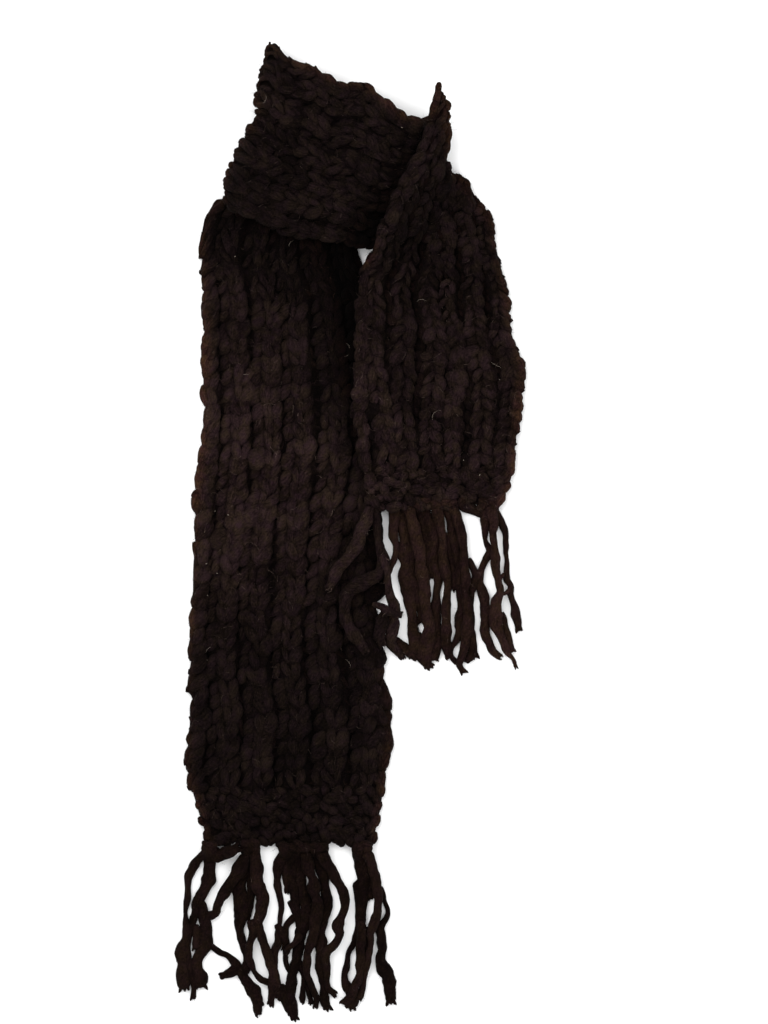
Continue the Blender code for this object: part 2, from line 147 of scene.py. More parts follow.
# A selvedge that rolls in: its rib's middle and width, and what is left of its outer leg
ROLLED_CENTRE = 0.0054
ROLLED_WIDTH = 0.0135
ROLLED_ACROSS = 0.25
ROLLED_HEIGHT = 0.55
# A start that is folded under: the axis it turns round, how far, and how even its stitches are there
FOLD_CORE = 0.0040
FOLD_ARC = 0.0058
FOLD_TURN = 2.3
FOLD_REACH = 3
FOLD_CREST = 0.86
FOLD_EVENED = 0.85
# A row doesn't cross the cloth in one line: each rib pulls it up or down by part of a row
RIB_STEP = 0.85
RIB_TURN = 0.618
RIB_STEP_ROWS = 3

# Seed stitch: the pitches and the half length of its bumps, where they start and end, and their girth
SEED_ACROSS = 0.0086
SEED_ALONG = 0.0063
SEED_HALF = 0.0047
SEED_FIRST = 0.0036
SEED_HEM = 0.0020
SEED_SIDE = 0.0052
SEED_GIRTH = 0.92
SEED_CRESTS = (0.80, 1.05)
# How the bumps lean one way and back, and how far they stray, turn, swell and bow
SEED_LEAN = 0.75
SEED_LEAN_BACK = 0.4
SEED_STRAY = 0.0011
SEED_TWIST = 0.42
SEED_TWIST_EDGE = 0.14
SEED_SIZES = 0.13
SEED_BOW = 0.0015

# Loose fibres: fine spikes that leave the wool where it faces up, and bend over along it
HAIR_THICKNESS = 0.00011
HAIR_STEPS = 5
HAIR_ROOT = 0.0006
HAIR_LOWEST = 0.0002
HAIR_CORNERS = ((0, 1), (0.8, -0.5), (-0.8, -0.5))
HAIR_TAPER = 0.75
HAIR_ARC = (0.15, 0.75)
HAIR_LIFT = 0.16
HAIR_FACING = 0.1
HAIR_SPREAD = 0.3
HAIR_RISE = 0.6
HAIR_CURL = 1.3
HAIR_SHORTEST = 0.25
HAIR_SHORTER = 1.6
CLOTH_HAIR = 0.0140
FRINGE_HAIR = 0.0080

# The two hidden layers behind the neck, and the line of slanted stitches round each
LAYER_SAMPLES = 60
LAYER_INSET = 0.0042
LAYER_TOP = 0.001
LAYER_FLAT = (0.7, 0.5, 0.3)
EDGE_PITCH = 0.0115
EDGE_TURN_SAMPLES = 8
EDGE_INSET = 0.0046
EDGE_SWAY = 0.0018
EDGE_GIRTH = 0.36
EDGE_RADII = (0.0014, 0.0042)
EDGE_SWING = 0.0002
EDGE_GAP = 0.0003
EDGE_SHADE = 0.5
EDGE_TINT = 0.5
EDGE_TINTS = 0.2
EDGE_TINT_REACH = 8

# Lint: its hairs and specks, how they taper, and how they arch over the wool
LINT_POINTS = 9
LINT_SIDES = 4
LINT_LIFT = 0.0002
LINT_ARCH = 0.0006
LINT_RADIUS = 0.00007
LINT_TAPER = 0.3
LINT_DARK = (0.16, 0.12, 0.09)
SPECK_RADIUS = 0.00026
SPECK_TURN = 60
SPECK_LENGTHS = (0.0010, 0.0024)

# The wool: how its noises stretch along the yarn, its bumps, the roving's tone and the cloth's painted
# shade
FIBRE_STREAKS = (150, 1100, 1100)
FIBRE_LUMPS = (110, 420, 420)
BUMP_STRENGTH = 0.85
BUMP_DISTANCE = 0.0018
BUMP_STREAKS, BUMP_LUMPS, BUMP_HEATHER = 0.7, 0.9, 0.5
WOOL_SPECULAR = 0.03
ROVING_TONE = (1.0, 0.87, 0.73)
ROVING_STREAKY = 0.65
# Painted shade: the cloth under the stitches is darker
UNDER_PAINTED_SHADE = (0.55, 0.55, 0.55)
WOOL_ROUGHNESS, STREAKS_SMOOTHER = 0.95, 0.10
# Its noises, each as scale, detail and roughness: the two of the fibres are scaled along the yarn
NOISES = {
    "fibre streaks": (1, 3, 0.65), "fibre lumps": (1, 2, 0.5), "streaks": (900, 3, 0.65),
    "lumps": (300, 2, 0.5), "tint": (60, 1, 0.6), "heather": (620, 3, 0.7), "broad": (40, 3, 0.6),
    "flecks": (160, 3, 0.6), "patches": (115, 2, 0.6), "fuzz": (220, 2, 0.6), "lint": (300, 2, 0.6),
    "floor": (2.2, 2, 0.6)
}
# How much of each goes into how pale the wool is, and between which values each change comes
PALE_BASE, HEATHER_SHARE, STREAKS_SHARE, TINT_SHARE, BROAD_SHARE = 0.23, 0.42, 0.46, 0.10, 0.30
PALE_LIMITS = (0.52, 0.84)
FLECK_LIMITS = (0.50, 0.72)
FLECK_SHARE = 0.45
PATCH_LIMITS = (0.36, 0.64)
FUZZ_LIMITS = (0.40, 0.75)
LINT_LIMITS = (0.3, 0.8)

# The stage
FLOOR_REACH = 40.0
FLOOR_PALER = 1.02
KEY_PLACE, KEY_SIZE = (-0.9, 0.9, 2.6), 2.2
FILL_PLACE, FILL_SIZE, FILL_SHARE = (1.3, -0.8, 2.4), 2.6, 0.55
CAMERA_PLACE = (0.0289, 0.0153, 9.02)
CAMERA_LENS = 372.0
CAMERA_SENSOR = 36.0
CAMERA_FARTHEST = 50.0

Row = namedtuple("Row", "left_x left_y right_x right_y")
Bend = namedtuple("Bend", "across dx dy")
Pile = namedtuple("Pile", "upper_x upper_y lower_x lower_y height")
Strand = namedtuple("Strand", "layer route")
Turn = namedtuple("Turn", "across along height girth")
Placed = namedtuple("Placed", "rib leg centre across along height girth")
# Painted light and shade at a share along a strip: a factor for the colour at its left and right selvedges
Shade = namedtuple("Shade", "along left right")
Lint = namedtuple("Lint", "x y heading length curl")
Stray = namedtuple("Stray", "sideways drift climb girth height lean row along across thick")


class Piece(namedtuple("Piece", (
    "rows valleys bends border towards pitch measured knit place bump yarn groove rolled fold sink taper"
    " shades flat rests_on"
))):
    """A stretch of cloth.

    Its rows, the shares across at which the valleys between its ribs lie, the bends of its start and the
    depth of its border. Then which way its stitches point, their pitch, where across its length is
    measured, the share of a rib that a stitch fills, where in the rib it stands, the purl bump's height,
    the yarn's thickness, the painted light left in a valley and whether its selvedges roll in. Then the
    depth of the fold at its start, the length over which its end sinks, where its start gathers and how
    far that reaches, its painted light and shade from start to end, its flat size and what it rests on.
    """


# How far a stitch strays at looseness 1: sideways, drift, along and across in metres, the rest as shares
KNIT_STRAY = Stray(
    sideways=0.0009, drift=0.0016, climb=0.12, girth=0.16, height=0.15, lean=0.20, row=0.06,
    along=0.0006, across=0.0004, thick=0.08
)
# One knit stitch from its foot to the middle of its head: the other half mirrors it
KNIT_HALF = [
    Turn(-0.50, -0.34, 0.26, 0.70),
    Turn(-0.27, -0.56, 0.32, 0.72),
    Turn(-0.12, -0.42, 0.64, 0.88),
    Turn(-0.21, -0.08, 1.00, 1.08),
    Turn(-0.32, 0.26, 1.00, 1.16),
    Turn(-0.36, 0.60, 0.72, 1.02),
    Turn(-0.22, 0.90, 0.32, 0.78),
    Turn(0.00, 1.00, 0.22, 0.70),
]
# The purl bump before a rib, from the last rib's foot over the groove to this rib's foot
PURL = [
    Turn(0.24, -0.36, 0.00, 0.55),
    Turn(0.48, -0.28, 0.74, 0.98),
    Turn(0.62, 0.06, 1.00, 1.18),
    Turn(0.77, 0.44, 0.86, 0.98),
    Turn(0.93, 0.10, 0.34, 0.66),
]
# One bump of the seed stitch border, along its own length
SEED_TURNS = [
    Turn(-1.00, 0, 0.18, 0.60),
    Turn(-0.55, 0, 0.78, 0.98),
    Turn(0.00, 0, 0.98, 1.08),
    Turn(0.55, 0, 0.78, 0.98),
    Turn(1.00, 0, 0.18, 0.60),
]

# The selvedges of each stretch, row by row: near the solid's own edges, at the ends of the wool
TAIL_LONG_ROWS = [
    Row(-0.113, 0.2800, 0.006, 0.2665),
    Row(-0.124, 0.2640, 0.0080, 0.2500),
    Row(-0.128, 0.2390, 0.0090, 0.2380),
    Row(-0.128, 0.2260, 0.0116, 0.2275),
    Row(-0.1275, 0.2000, 0.0235, 0.2000),
    Row(-0.1262, 0.1550, 0.028, 0.1550),
    Row(-0.126, 0.1100, 0.032, 0.1100),
    Row(-0.1256, 0.0650, 0.033, 0.0650),
    Row(-0.1302, 0.0200, 0.0275, 0.0200),
    Row(-0.1370, -0.0250, 0.0245, -0.0250),
    Row(-0.1375, -0.0700, 0.0240, -0.0700),
    Row(-0.1385, -0.1150, 0.0262, -0.1150),
    Row(-0.1375, -0.1600, 0.0345, -0.1600),
    Row(-0.1405, -0.2050, 0.0325, -0.2050),
    Row(-0.1345, -0.2350, 0.0300, -0.2350),
    Row(-0.1218, -0.2700, 0.0215, -0.2700),
]
BAND_ROWS = [
    Row(-0.0735, 0.4030, -0.1100, 0.2830),
    Row(-0.0635, 0.4180, -0.0970, 0.2690),
    Row(-0.0510, 0.4048, -0.0760, 0.2580),
    Row(-0.0300, 0.3975, -0.0520, 0.2510),
    Row(-0.0090, 0.3815, -0.0300, 0.2470),
    Row(0.0120, 0.3838, -0.0080, 0.2425),
    Row(0.0300, 0.3680, 0.0078, 0.2366),
    Row(0.0460, 0.3540, 0.0215, 0.2410),
    Row(0.0640, 0.3505, 0.0330, 0.2600),
]
BAND_TURN = [
    Bend(0, 0, 0),
    Bend(0.13, 0.0022, 0),
    Bend(0.22, 0.0008, 0),
    Bend(0.34, 0.0036, 0),
    Bend(0.47, 0.0084, 0),
    Bend(0.53, 0.0040, 0),
    Bend(0.66, -0.0034, 0),
    Bend(0.84, -0.0064, 0),
    Bend(1, -0.0010, 0),
]
TAIL_SHORT_ROWS = [
    Row(0.0778, 0.3805, 0.1205, 0.2670),
    Row(0.0640, 0.3320, 0.1240, 0.2500),
    Row(0.0430, 0.2975, 0.1290, 0.2300),
    Row(0.0225, 0.2590, 0.1322, 0.2080),
    Row(0.0187, 0.2440, 0.1339, 0.1980),
    Row(0.0090, 0.2290, 0.1356, 0.1880),
    Row(0.0045, 0.2110, 0.1386, 0.1770),
    Row(0.0067, 0.1900, 0.1415, 0.1660),
    Row(0.0055, 0.1500, 0.1492, 0.1370),
    Row(0.0070, 0.1080, 0.1462, 0.1060),
    Row(0.0095, 0.0740, 0.1446, 0.0740),
    Row(0.0110, 0.0430, 0.1402, 0.0420),
    Row(0.0130, 0.0170, 0.1265, 0.0170),
]
TAIL_SHORT_TURN = [
    Bend(0, 0, 0),
    Bend(0.15, -0.0036, 0.0020),
    Bend(0.33, -0.0108, 0.0010),
    Bend(0.50, -0.0228, 0.0000),
    Bend(0.63, -0.0215, -0.0020),
    Bend(0.75, -0.0135, 0.0075),
    Bend(0.87, -0.0082, 0.0005),
    Bend(0.94, -0.0020, 0.0014),
    Bend(1, 0, 0),
]
# The bends of a turned start fade out over this share of the length
TURN_FADE = 0.36

PIECES = {
    "tail_long": Piece(
        TAIL_LONG_ROWS, (0, 0.10, 0.27, 0.44, 0.62, 0.81, 0.95, 1), None, 0.050,
        towards=-1, pitch=0.0127, measured=0.5, knit=0.46, place=0.64, bump=0.72, yarn=1.00,
        groove=0.38, rolled=True,
        fold=0, sink=0, taper=None, shades=[
            Shade(0, 0.85, -0.4), Shade(0.13, 0.95, -0.5), Shade(0.25, 1.15, -0.8), Shade(0.38, 1.8, -1.4),
            Shade(0.5, 2.1, 1.0), Shade(0.62, 1.6, 1.7), Shade(0.72, 0.9, 0.9), Shade(1, 0.78, 0.78)
        ],
        flat=(0.165, 0.555), rests_on=["floor"]
    ),
    "neck_band": Piece(
        BAND_ROWS, (0, 0.11, 0.25, 0.41, 0.58, 0.74, 0.89, 1), BAND_TURN, 0.0,
        towards=-1, pitch=0.0114, measured=0.5, knit=0.64, place=0.52, bump=0.40, yarn=0.86,
        groove=0.5, rolled=False,
        fold=0.0078, sink=0.034, taper=(-0.0640, 0.4120, 0.060), shades=[
            Shade(0, 0.95, 0.95), Shade(0.6, 0.95, 0.7), Shade(0.75, 0.95, -0.4), Shade(1, 1.05, -1.2)
        ],
        flat=(0.160, 0.165), rests_on=["neck_back", "tail_long"]
    ),
    "tail_short": Piece(
        TAIL_SHORT_ROWS, (0, 0.05, 0.19, 0.35, 0.54, 0.66, 0.84, 1), TAIL_SHORT_TURN, 0.038,
        towards=1, pitch=0.0108, measured=0.12, knit=0.74, place=0.50, bump=0.10, yarn=0.94,
        groove=0.16, rolled=False,
        fold=0.0078, sink=0, taper=(0.0745, 0.3850, 0.130), shades=[
            Shade(0, 0.9, 0.9), Shade(0.3, 0.95, 0.9), Shade(0.6, 1.25, 1.2), Shade(0.85, 1.6, 1.5),
            Shade(1, 1.75, 1.65)
        ],
        flat=(0.140, 0.345), rests_on=["neck_band", "tail_long"]
    ),
}

# The layers behind the neck, as rows of the pile's upper and lower edge and its height
NECK_BACK_ROWS = [
    Pile(-0.0620, 0.3860, -0.0850, 0.2900, 0.010),
    Pile(-0.0570, 0.3930, -0.0790, 0.2767, 0.023),
    Pile(-0.0400, 0.3880, -0.0660, 0.2752, 0.026),
    Pile(-0.0170, 0.3800, -0.0490, 0.2733, 0.026),
    Pile(0.0040, 0.3740, -0.0310, 0.2712, 0.026),
    Pile(0.0250, 0.3620, -0.0130, 0.2692, 0.025),
    Pile(0.0450, 0.3520, 0.0030, 0.2674, 0.019),
    Pile(0.0630, 0.3510, 0.0190, 0.2700, 0.009),
    Pile(0.0685, 0.3520, 0.0360, 0.2800, 0.010),
    Pile(0.0730, 0.3520, 0.0550, 0.2920, 0.015),
    Pile(0.0765, 0.3470, 0.0740, 0.3060, 0.009),
]

# Fringe strands: how far round a strand the pile under it is felt for, and at how many of its points
STRAND_REACH = 0.0050
STRAND_RINGS = (0.3, 0.65, 1.0)
STRAND_RAYS = 16
FELT_FEWEST = 5
FELT_EVERY = 3
# How finely a strand is drawn, how thick it gets, how much fuller than its route, and its root's height
STRAND_STEP = 0.0022
STRAND_FEWEST = 8
STRAND_SIDES = 10
STRAND_LUMPS = 0.05
STRAND_THICKNESS = 0.0036
STRAND_FULLER = {"long": 0.0019, "short": 0.0012}
STRAND_ROOT = 0.0046
# How high each layer of strands lies on the one below, and its shade
LAYER_HEIGHT = 0.0058
LAYER_SHADES = (0.86, 1.04, 1.04)
# An upper strand comes down to the one below it over its last quarter, to a quarter of the height
COMES_DOWN = 0.25
# Strands are still for their first few points, sway less along than across, and end thin
SWAY_FROM = 6
SWAY_REACH = 4
SWAY_ALONG = 0.4
THICK_REACH = 3
TIP_REACH = 0.0022
TIP_RADII = (0.86, 0.55)
FREE_RADII = (0.6, 0.85)
STRAND_TINTS = (0.1, 0.9)
STRAND_LIGHT = (0.85, 1.15)
# A strand that starts this near to its hem is tied to it: it enters the knot by two more points
TIED_WITHIN = 0.008
KNOT_LEAD = [(0, 0.0085, 0.0028), (0, 0.0045, 0.0034)]
KNOT_RADII = (0.8, 1.15)
# The bump of a hitch along its own length, as (reach, rise, girth), its radius and how it strays
HITCH_TURNS = [
    (-1, -0.0012, 0.6), (-0.6, 0.0016, 0.95), (0, 0.0024, 1.05), (0.6, 0.0016, 0.95), (1, -0.0012, 0.6)
]
HITCH_RADIUS = 0.0030
HITCH_WIDEST = 0.0034
HITCH_OVER = 0.0006
HITCH_TURN = 0.5
HITCH_ABOVE = 0.0010
HITCH_STRAY = (0.0010, 0.0018)
HITCH_SIZES = 0.12
# A wisp's points: metres behind the tip, then shares of its reach, spread, bend and drop, then its girth
WISP_TURNS = [
    (0.003, 0, 0.5, 0, 0, 1.0), (0, 0, 0.8, 0, 0, 1.0),
    (0, 0.6, 1.0, 0.4, 0.2, 0.8), (0, 1, 1.1, 1, 0.4, 0.3)
]
WISPS = 3
WISP_SPREAD = 0.6
WISP_REACH = (0.0015, 0.0045)
WISP_BEND = 0.0010
WISP_LOWEST = 0.0011
WISP_WIDEST = 0.003
WISP_GIRTHS = (0.45, 0.6)

HEMS = {"long": -0.275, "short": 0.019}
FRINGE_SHADES = {
    "long_1": 0.96, "long_2": 0.83, "long_3": 0.96, "short_1": 1.28, "short_2": 1.55, "short_3": 1.75
}
# The group that lies on the long end is in the same light as the cloth
ON_CLOTH = "short_1"
# Each strand's layer, then its route from the hem as (x, y, width) in millimetres
FRINGES = {
    "long_1": [
        Strand(0, [(-122, -275, 7), (-130, -282, 6), (-137, -292, 6), (-139, -304, 4), (-139, -317, 3.5),
            (-140, -327, 2), (-139, -338, 4), (-141, -349, 5), (-144, -358, 9.5), (-142, -370, 9.5),
            (-142, -382, 9.5), (-141, -389, 7)]),
        Strand(0, [(-119, -275, 10), (-120, -286, 11), (-121, -298, 11), (-124, -306, 9.5),
            (-128, -316, 10), (-125, -327, 9.5), (-123, -336, 10), (-124, -346, 10), (-124, -354, 10),
            (-128, -363, 7.5), (-130, -371, 8.5), (-128, -382, 10), (-127, -388, 7.5)]),
        Strand(0, [(-125, -308, 7), (-132, -317, 7), (-132, -326, 5), (-135, -337, 4), (-138, -345, 5),
            (-139, -356, 5), (-139, -367, 7), (-136, -378, 7.5), (-133, -388, 6), (-133, -397, 4)]),
        Strand(1, [(-89, -277, 7), (-96, -293, 9.5), (-103, -304, 7.5), (-110, -314, 7), (-112, -321, 6),
            (-114, -327, 7.5), (-120, -329, 7)]),
        Strand(0, [(-123, -350, 5), (-117, -356, 4), (-111, -360, 4), (-105, -362, 3.5), (-100, -366, 4),
            (-96, -372, 6), (-101, -377, 6), (-108, -380, 2.5)]),
        Strand(0, [(-87, -275, 7), (-89, -286, 7), (-92, -298, 8.5), (-92, -309, 10), (-92, -318, 10),
            (-92, -327, 10), (-94, -336, 7.5), (-94, -343, 5), (-92, -350, 6), (-88, -358, 7),
            (-87, -366, 6), (-88, -372, 7), (-91, -379, 7), (-86, -387, 7.5), (-82, -394, 8.5),
            (-79, -403, 7.5), (-78, -411, 5)]),
        Strand(1, [(-81, -275, 7.5), (-80, -287, 10), (-80, -299, 11), (-75, -309, 9.5),
            (-74, -316, 7.5), (-76, -326, 7), (-79, -335, 7), (-77, -343, 7), (-74, -351, 6),
            (-71, -360, 5), (-68, -368, 7.5), (-65, -378, 7.5), (-65, -389, 7.5), (-67, -396, 7),
            (-68, -402, 3.5)]),
        Strand(1, [(-85, -332, 7.5), (-82, -342, 5), (-85, -353, 4), (-86, -361, 5), (-83, -371, 3.5),
            (-81, -377, 2.5), (-76, -383, 3.5), (-71, -385, 4), (-67, -387, 5)]),
        Strand(0, [(-96, -372, 5), (-92, -379, 6), (-85, -388, 7.5), (-79, -395, 7.5), (-76, -404, 5)]),
        Strand(1, [(-116, -279, 9), (-108, -276, 8), (-97, -271, 5)]),
        Strand(0, [(-86, -290, 5), (-83, -303, 6), (-84, -316, 5), (-87, -330, 3)]),
        Strand(0, [(-100, -301, 4), (-97, -310, 5), (-96, -325, 4)]),
        Strand(0, [(-131, -336, 4), (-131, -345, 6), (-131, -355, 6)]),
    ],
    "long_2": [
        Strand(0, [(-55, -275, 7.5), (-60, -284, 7.5), (-62, -294, 6), (-62, -304, 4), (-60, -314, 3.5),
            (-59, -322, 2.5), (-60, -330, 3), (-61, -338, 3), (-62, -344, 3.5), (-61, -351, 4),
            (-64, -359, 6), (-65, -368, 7.5), (-65, -378, 7), (-65, -389, 7.5), (-60, -396, 7)]),
        Strand(0, [(-50, -275, 8.5), (-51, -287, 7.5), (-50, -298, 7), (-48, -308, 7), (-47, -317, 6),
            (-45, -325, 4), (-49, -332, 4), (-54, -337, 3.5), (-56, -344, 4), (-54, -352, 4),
            (-55, -360, 2.5), (-54, -369, 2.5), (-51, -375, 4)]),
        Strand(0, [(-44, -275, 7.5), (-43, -289, 7.5), (-42, -301, 7.5), (-39, -312, 7.5),
            (-37, -323, 9.5), (-38, -333, 10), (-42, -343, 9.5), (-43, -353, 7), (-45, -362, 6),
            (-47, -371, 7), (-50, -379, 6), (-51, -389, 7), (-52, -398, 8.5), (-50, -406, 10),
            (-48, -415, 5)]),
        Strand(1, [(-38, -275, 7.5), (-36, -287, 8.5), (-32, -298, 8.5), (-30, -309, 8.5),
            (-28, -320, 8.5), (-29, -330, 9.5), (-31, -340, 8.5), (-32, -349, 7), (-35, -359, 5),
            (-36, -368, 5), (-36, -377, 4), (-34, -386, 4), (-31, -394, 4), (-28, -400, 4),
            (-29, -405, 3.5)]),
        Strand(0, [(-31, -275, 7.5), (-26, -287, 7), (-22, -299, 7), (-20, -310, 7.5), (-20, -321, 8.5),
            (-23, -332, 7.5), (-25, -342, 8.5), (-24, -352, 7.5), (-23, -362, 7), (-24, -372, 7),
            (-24, -382, 7), (-22, -393, 7.5), (-22, -400, 6), (-20, -406, 6)]),
        Strand(1, [(-24, -275, 7.5), (-19, -285, 7.5), (-13, -294, 7.5), (-8, -303, 7), (-6, -312, 7),
            (-5, -320, 6.5), (-7, -328, 7.5), (-10, -337, 8), (-10, -345, 6.5), (-14, -353, 6),
            (-19, -359, 7), (-20, -367, 5), (-20, -377, 4), (-20, -385, 4), (-18, -391, 4),
            (-14, -394, 3.5)]),
        Strand(0, [(-46, -364, 4), (-42, -371, 3.5), (-41, -379, 2.5), (-41, -389, 3), (-41, -400, 4)]),
        Strand(1, [(-42, -344, 7), (-47, -352, 4), (-52, -356, 4), (-53, -359, 3.5)]),
        Strand(0, [(-59, -387, 6), (-57, -394, 7.5), (-54, -402, 7.5), (-51, -410, 7)]),
        Strand(0, [(-54, -284, 5), (-55, -296, 4), (-54, -306, 3)]),
        Strand(0, [(-52, -316, 4), (-46, -326, 5), (-43, -335, 5)]),
        Strand(0, [(-63, -336, 4), (-58, -344, 5), (-55, -352, 4)]),
        Strand(0, [(-45, -368, 3), (-40, -378, 3), (-36, -392, 3), (-34, -402, 3)]),
    ],
    "long_3": [
        Strand(0, [(8, -275, 8.5), (11, -287, 10), (12, -299, 10), (10, -310, 10), (9, -321, 9.5),
            (9, -332, 8.5), (8, -342, 7.5), (4, -351, 6), (-1, -360, 3.5), (-3, -369, 4), (-5, -378, 4),
            (-3, -387, 6), (1, -394, 7.5), (1, -402, 9.5), (0, -406, 7)]),
        Strand(1, [(10, -333, 5), (10, -343, 6), (9, -353, 6), (9, -363, 6), (8, -372, 6), (7, -381, 5),
            (4, -388, 6), (2, -396, 7), (-4, -402, 4)]),
        Strand(1, [(14, -275, 7), (19, -286, 7.5), (22, -298, 7), (24, -309, 7), (24, -319, 5),
            (23, -329, 6), (20, -338, 6), (17, -345, 4), (17, -353, 2.5), (16, -361, 3.5), (14, -371, 4),
            (13, -380, 4), (11, -388, 4), (9, -398, 4)]),
        Strand(0, [(18, -290, 4), (18, -302, 5), (17, -312, 3)]),
        Strand(0, [(16, -338, 3), (14, -350, 4), (13, -360, 4)]),
        Strand(0, [(26, -304, 4), (30, -317, 3), (32, -325, 2.5), (30, -332, 5), (26, -339, 7),
            (27, -348, 7), (27, -357, 7), (26, -365, 7), (29, -374, 8.5), (33, -383, 9.5),
            (34, -393, 9.5), (34, -401, 7)]),
    ],
    "short_1": [
        Strand(1, [(17, 19, 8), (14, 8, 9), (9, -3, 10), (5, -14, 10.5), (-1, -23, 10.5), (-8, -31, 10),
            (-14, -40, 9), (-17, -48, 6)]),
        Strand(0, [(21, 19, 7.5), (22, 7, 7.5), (24, -5, 7.5), (26, -17, 7.5), (29, -27, 8.5),
            (25, -37, 10), (15, -43, 11), (5, -48, 10.5), (-3, -56, 10), (-5, -66, 9.5), (-3, -76, 9.5),
            (2, -86, 9.5), (8, -94, 8), (12, -102, 5)]),
        Strand(1, [(27, -21, 6), (32, -37, 5), (33, -48, 5), (34, -58, 7), (37, -67, 9),
            (36, -76, 10), (35, -87, 10), (35, -96, 9), (39, -102, 7), (43, -107, 4)]),
        Strand(0, [(30, -67, 4), (28, -75, 8), (26, -84, 9), (25, -91, 8), (27, -97, 5)]),
        Strand(2, [(19, -63, 4), (26, -65, 5), (32, -69, 6), (41, -72, 4)]),
    ],
    "short_2": [
        Strand(0, [(37, 19, 7.5), (38, 7, 7.5), (37, -4, 6), (38, -14, 4), (37, -24, 4), (35, -32, 4),
            (32, -41, 4)]),
        Strand(0, [(42, 19, 7.5), (43, 7, 7.5), (46, -7, 7.5), (46, -19, 10), (47, -31, 11),
            (48, -42, 12), (50, -54, 11), (52, -66, 8.5), (52, -78, 7.5), (53, -89, 7.5), (54, -99, 7.5),
            (51, -106, 5)]),
        Strand(1, [(50, 19, 8.5), (53, 7, 9.5), (56, -7, 10), (59, -20, 10), (60, -32, 10),
            (63, -45, 9.5), (64, -58, 8.5), (65, -70, 8.5), (67, -82, 9.5), (66, -94, 11),
            (65, -104, 12), (67, -114, 8.5)]),
        Strand(0, [(63, 19, 7.5), (68, 8, 7.5), (71, -3, 8.5), (71, -15, 7.5), (72, -27, 7),
            (75, -39, 7), (74, -51, 7.5), (73, -63, 8.5), (72, -75, 9.5), (72, -87, 10), (73, -98, 11),
            (71, -109, 8.5)]),
        Strand(1, [(73, 19, 7.5), (77, 7, 7), (79, -5, 7), (79, -17, 7), (80, -29, 7), (82, -41, 7),
            (82, -53, 7), (82, -65, 7.5), (82, -76, 7.5), (82, -88, 8.5), (82, -99, 7), (84, -107, 5)]),
        Strand(0, [(82, 19, 7), (86, 7, 7), (88, -5, 7), (90, -17, 7.5), (92, -30, 7.5), (93, -42, 7),
            (94, -54, 7), (96, -65, 7), (94, -75, 7), (94, -85, 7), (91, -94, 4), (87, -100, 3.5),
            (86, -107, 4), (90, -112, 5)]),
        Strand(1, [(88, 19, 7), (92, 8, 7), (95, -3, 7.5), (97, -15, 7.5), (97, -27, 7.5),
            (98, -39, 7.5), (98, -51, 7), (99, -63, 7), (100, -75, 7), (99, -87, 7.5), (98, -98, 7.5),
            (96, -107, 7), (94, -115, 5), (96, -120, 2.5)]),
        Strand(0, [(46, 14, 6), (48, 0, 6), (52, -17, 6), (54, -38, 6), (58, -60, 6), (60, -76, 5)]),
        Strand(0, [(59, 15, 8), (63, 0, 9), (66, -17, 8), (69, -38, 5)]),
        Strand(0, [(72, 11, 5), (75, 0, 5), (76, -14, 4)]),
        Strand(0, [(82, -2, 4), (85, -17, 5), (88, -38, 5), (89, -48, 4)]),
        Strand(0, [(89, 9, 4), (93, -4, 5), (95, -17, 4)]),
        Strand(0, [(38, -92, 5), (43, -98, 8), (49, -103, 8), (55, -108, 6)]),
        Strand(0, [(58, -87, 5), (58, -98, 7), (60, -108, 8), (66, -115, 6)]),
        Strand(0, [(95, 19, 6), (103, 17, 6), (112, 13, 5)]),
        Strand(0, [(99, -86, 4), (102, -96, 5), (106, -106, 4)]),
        Strand(0, [(101, -24, 5), (105, -34, 6), (108, -42, 8.5), (103, -53, 6), (102, -63, 5),
            (103, -75, 5), (103, -85, 6), (105, -94, 6), (105, -104, 7), (100, -110, 5)]),
    ],
    "short_3": [
        Strand(0, [(115, 19, 7.5), (116, 7, 7), (115, -3, 4), (116, -11, 4), (119, -18, 5),
            (116, -24, 4.5), (113, -31, 3.5), (111, -39, 6), (111, -49, 7.5), (114, -60, 7.5),
            (116, -70, 7.5), (115, -80, 8.5), (115, -88, 7.5), (118, -96, 6), (122, -103, 6),
            (126, -107, 5)]),
        Strand(1, [(120, 19, 7.5), (122, 7, 7.5), (122, -3, 6), (123, -14, 7), (124, -24, 7),
            (124, -34, 5), (126, -44, 4), (128, -53, 5), (125, -62, 7.5), (124, -72, 10), (125, -83, 10),
            (129, -92, 7.5), (132, -99, 7.5), (135, -105, 7.5), (139, -110, 4), (140, -115, 2)]),
        Strand(0, [(124, 17, 6), (128, 7, 6), (131, -1, 5), (132, -9, 4), (133, -18, 3), (134, -26, 3),
            (132, -35, 4), (133, -42, 5), (137, -47, 5), (137, -55, 4.5), (139, -63, 6), (141, -71, 6),
            (143, -79, 5), (144, -84, 3.5)]),
        Strand(0, [(129, -70, 5), (131, -82, 6), (134, -92, 6), (138, -102, 6)]),
        Strand(1, [(131, -37, 2.5), (128, -42, 2), (128, -48, 2), (131, -54, 2.5), (135, -51, 3.5)]),
    ],
}

# Pale hairs caught in the wool, each where it starts, its heading in degrees, its length and its curl
LINT_HAIRS = [
    Lint(-0.0085, 0.1590, 12, 0.0200, -2.9),
    Lint(0.1185, 0.1440, -38, 0.0120, 0.3),
    Lint(0.0790, 0.1010, 160, 0.0150, 2.2),
    Lint(0.0560, 0.1930, 60, 0.0110, -1.8),
    Lint(-0.0720, 0.3700, -60, 0.0090, -1.6),
    Lint(0.0830, 0.3080, -70, 0.0080, 0.4),
    Lint(-0.0520, 0.2400, 100, 0.0080, -1.4),
    Lint(-0.0950, 0.1290, 50, 0.0100, -1.0),
    Lint(0.0080, 0.0020, -55, 0.0110, 0.8),
    Lint(0.0130, -0.0040, 65, 0.0090, -1.2),
    Lint(0.0000, -0.1180, 80, 0.0100, 1.4),
    Lint(-0.1230, -0.1050, 75, 0.0080, -0.9),
]
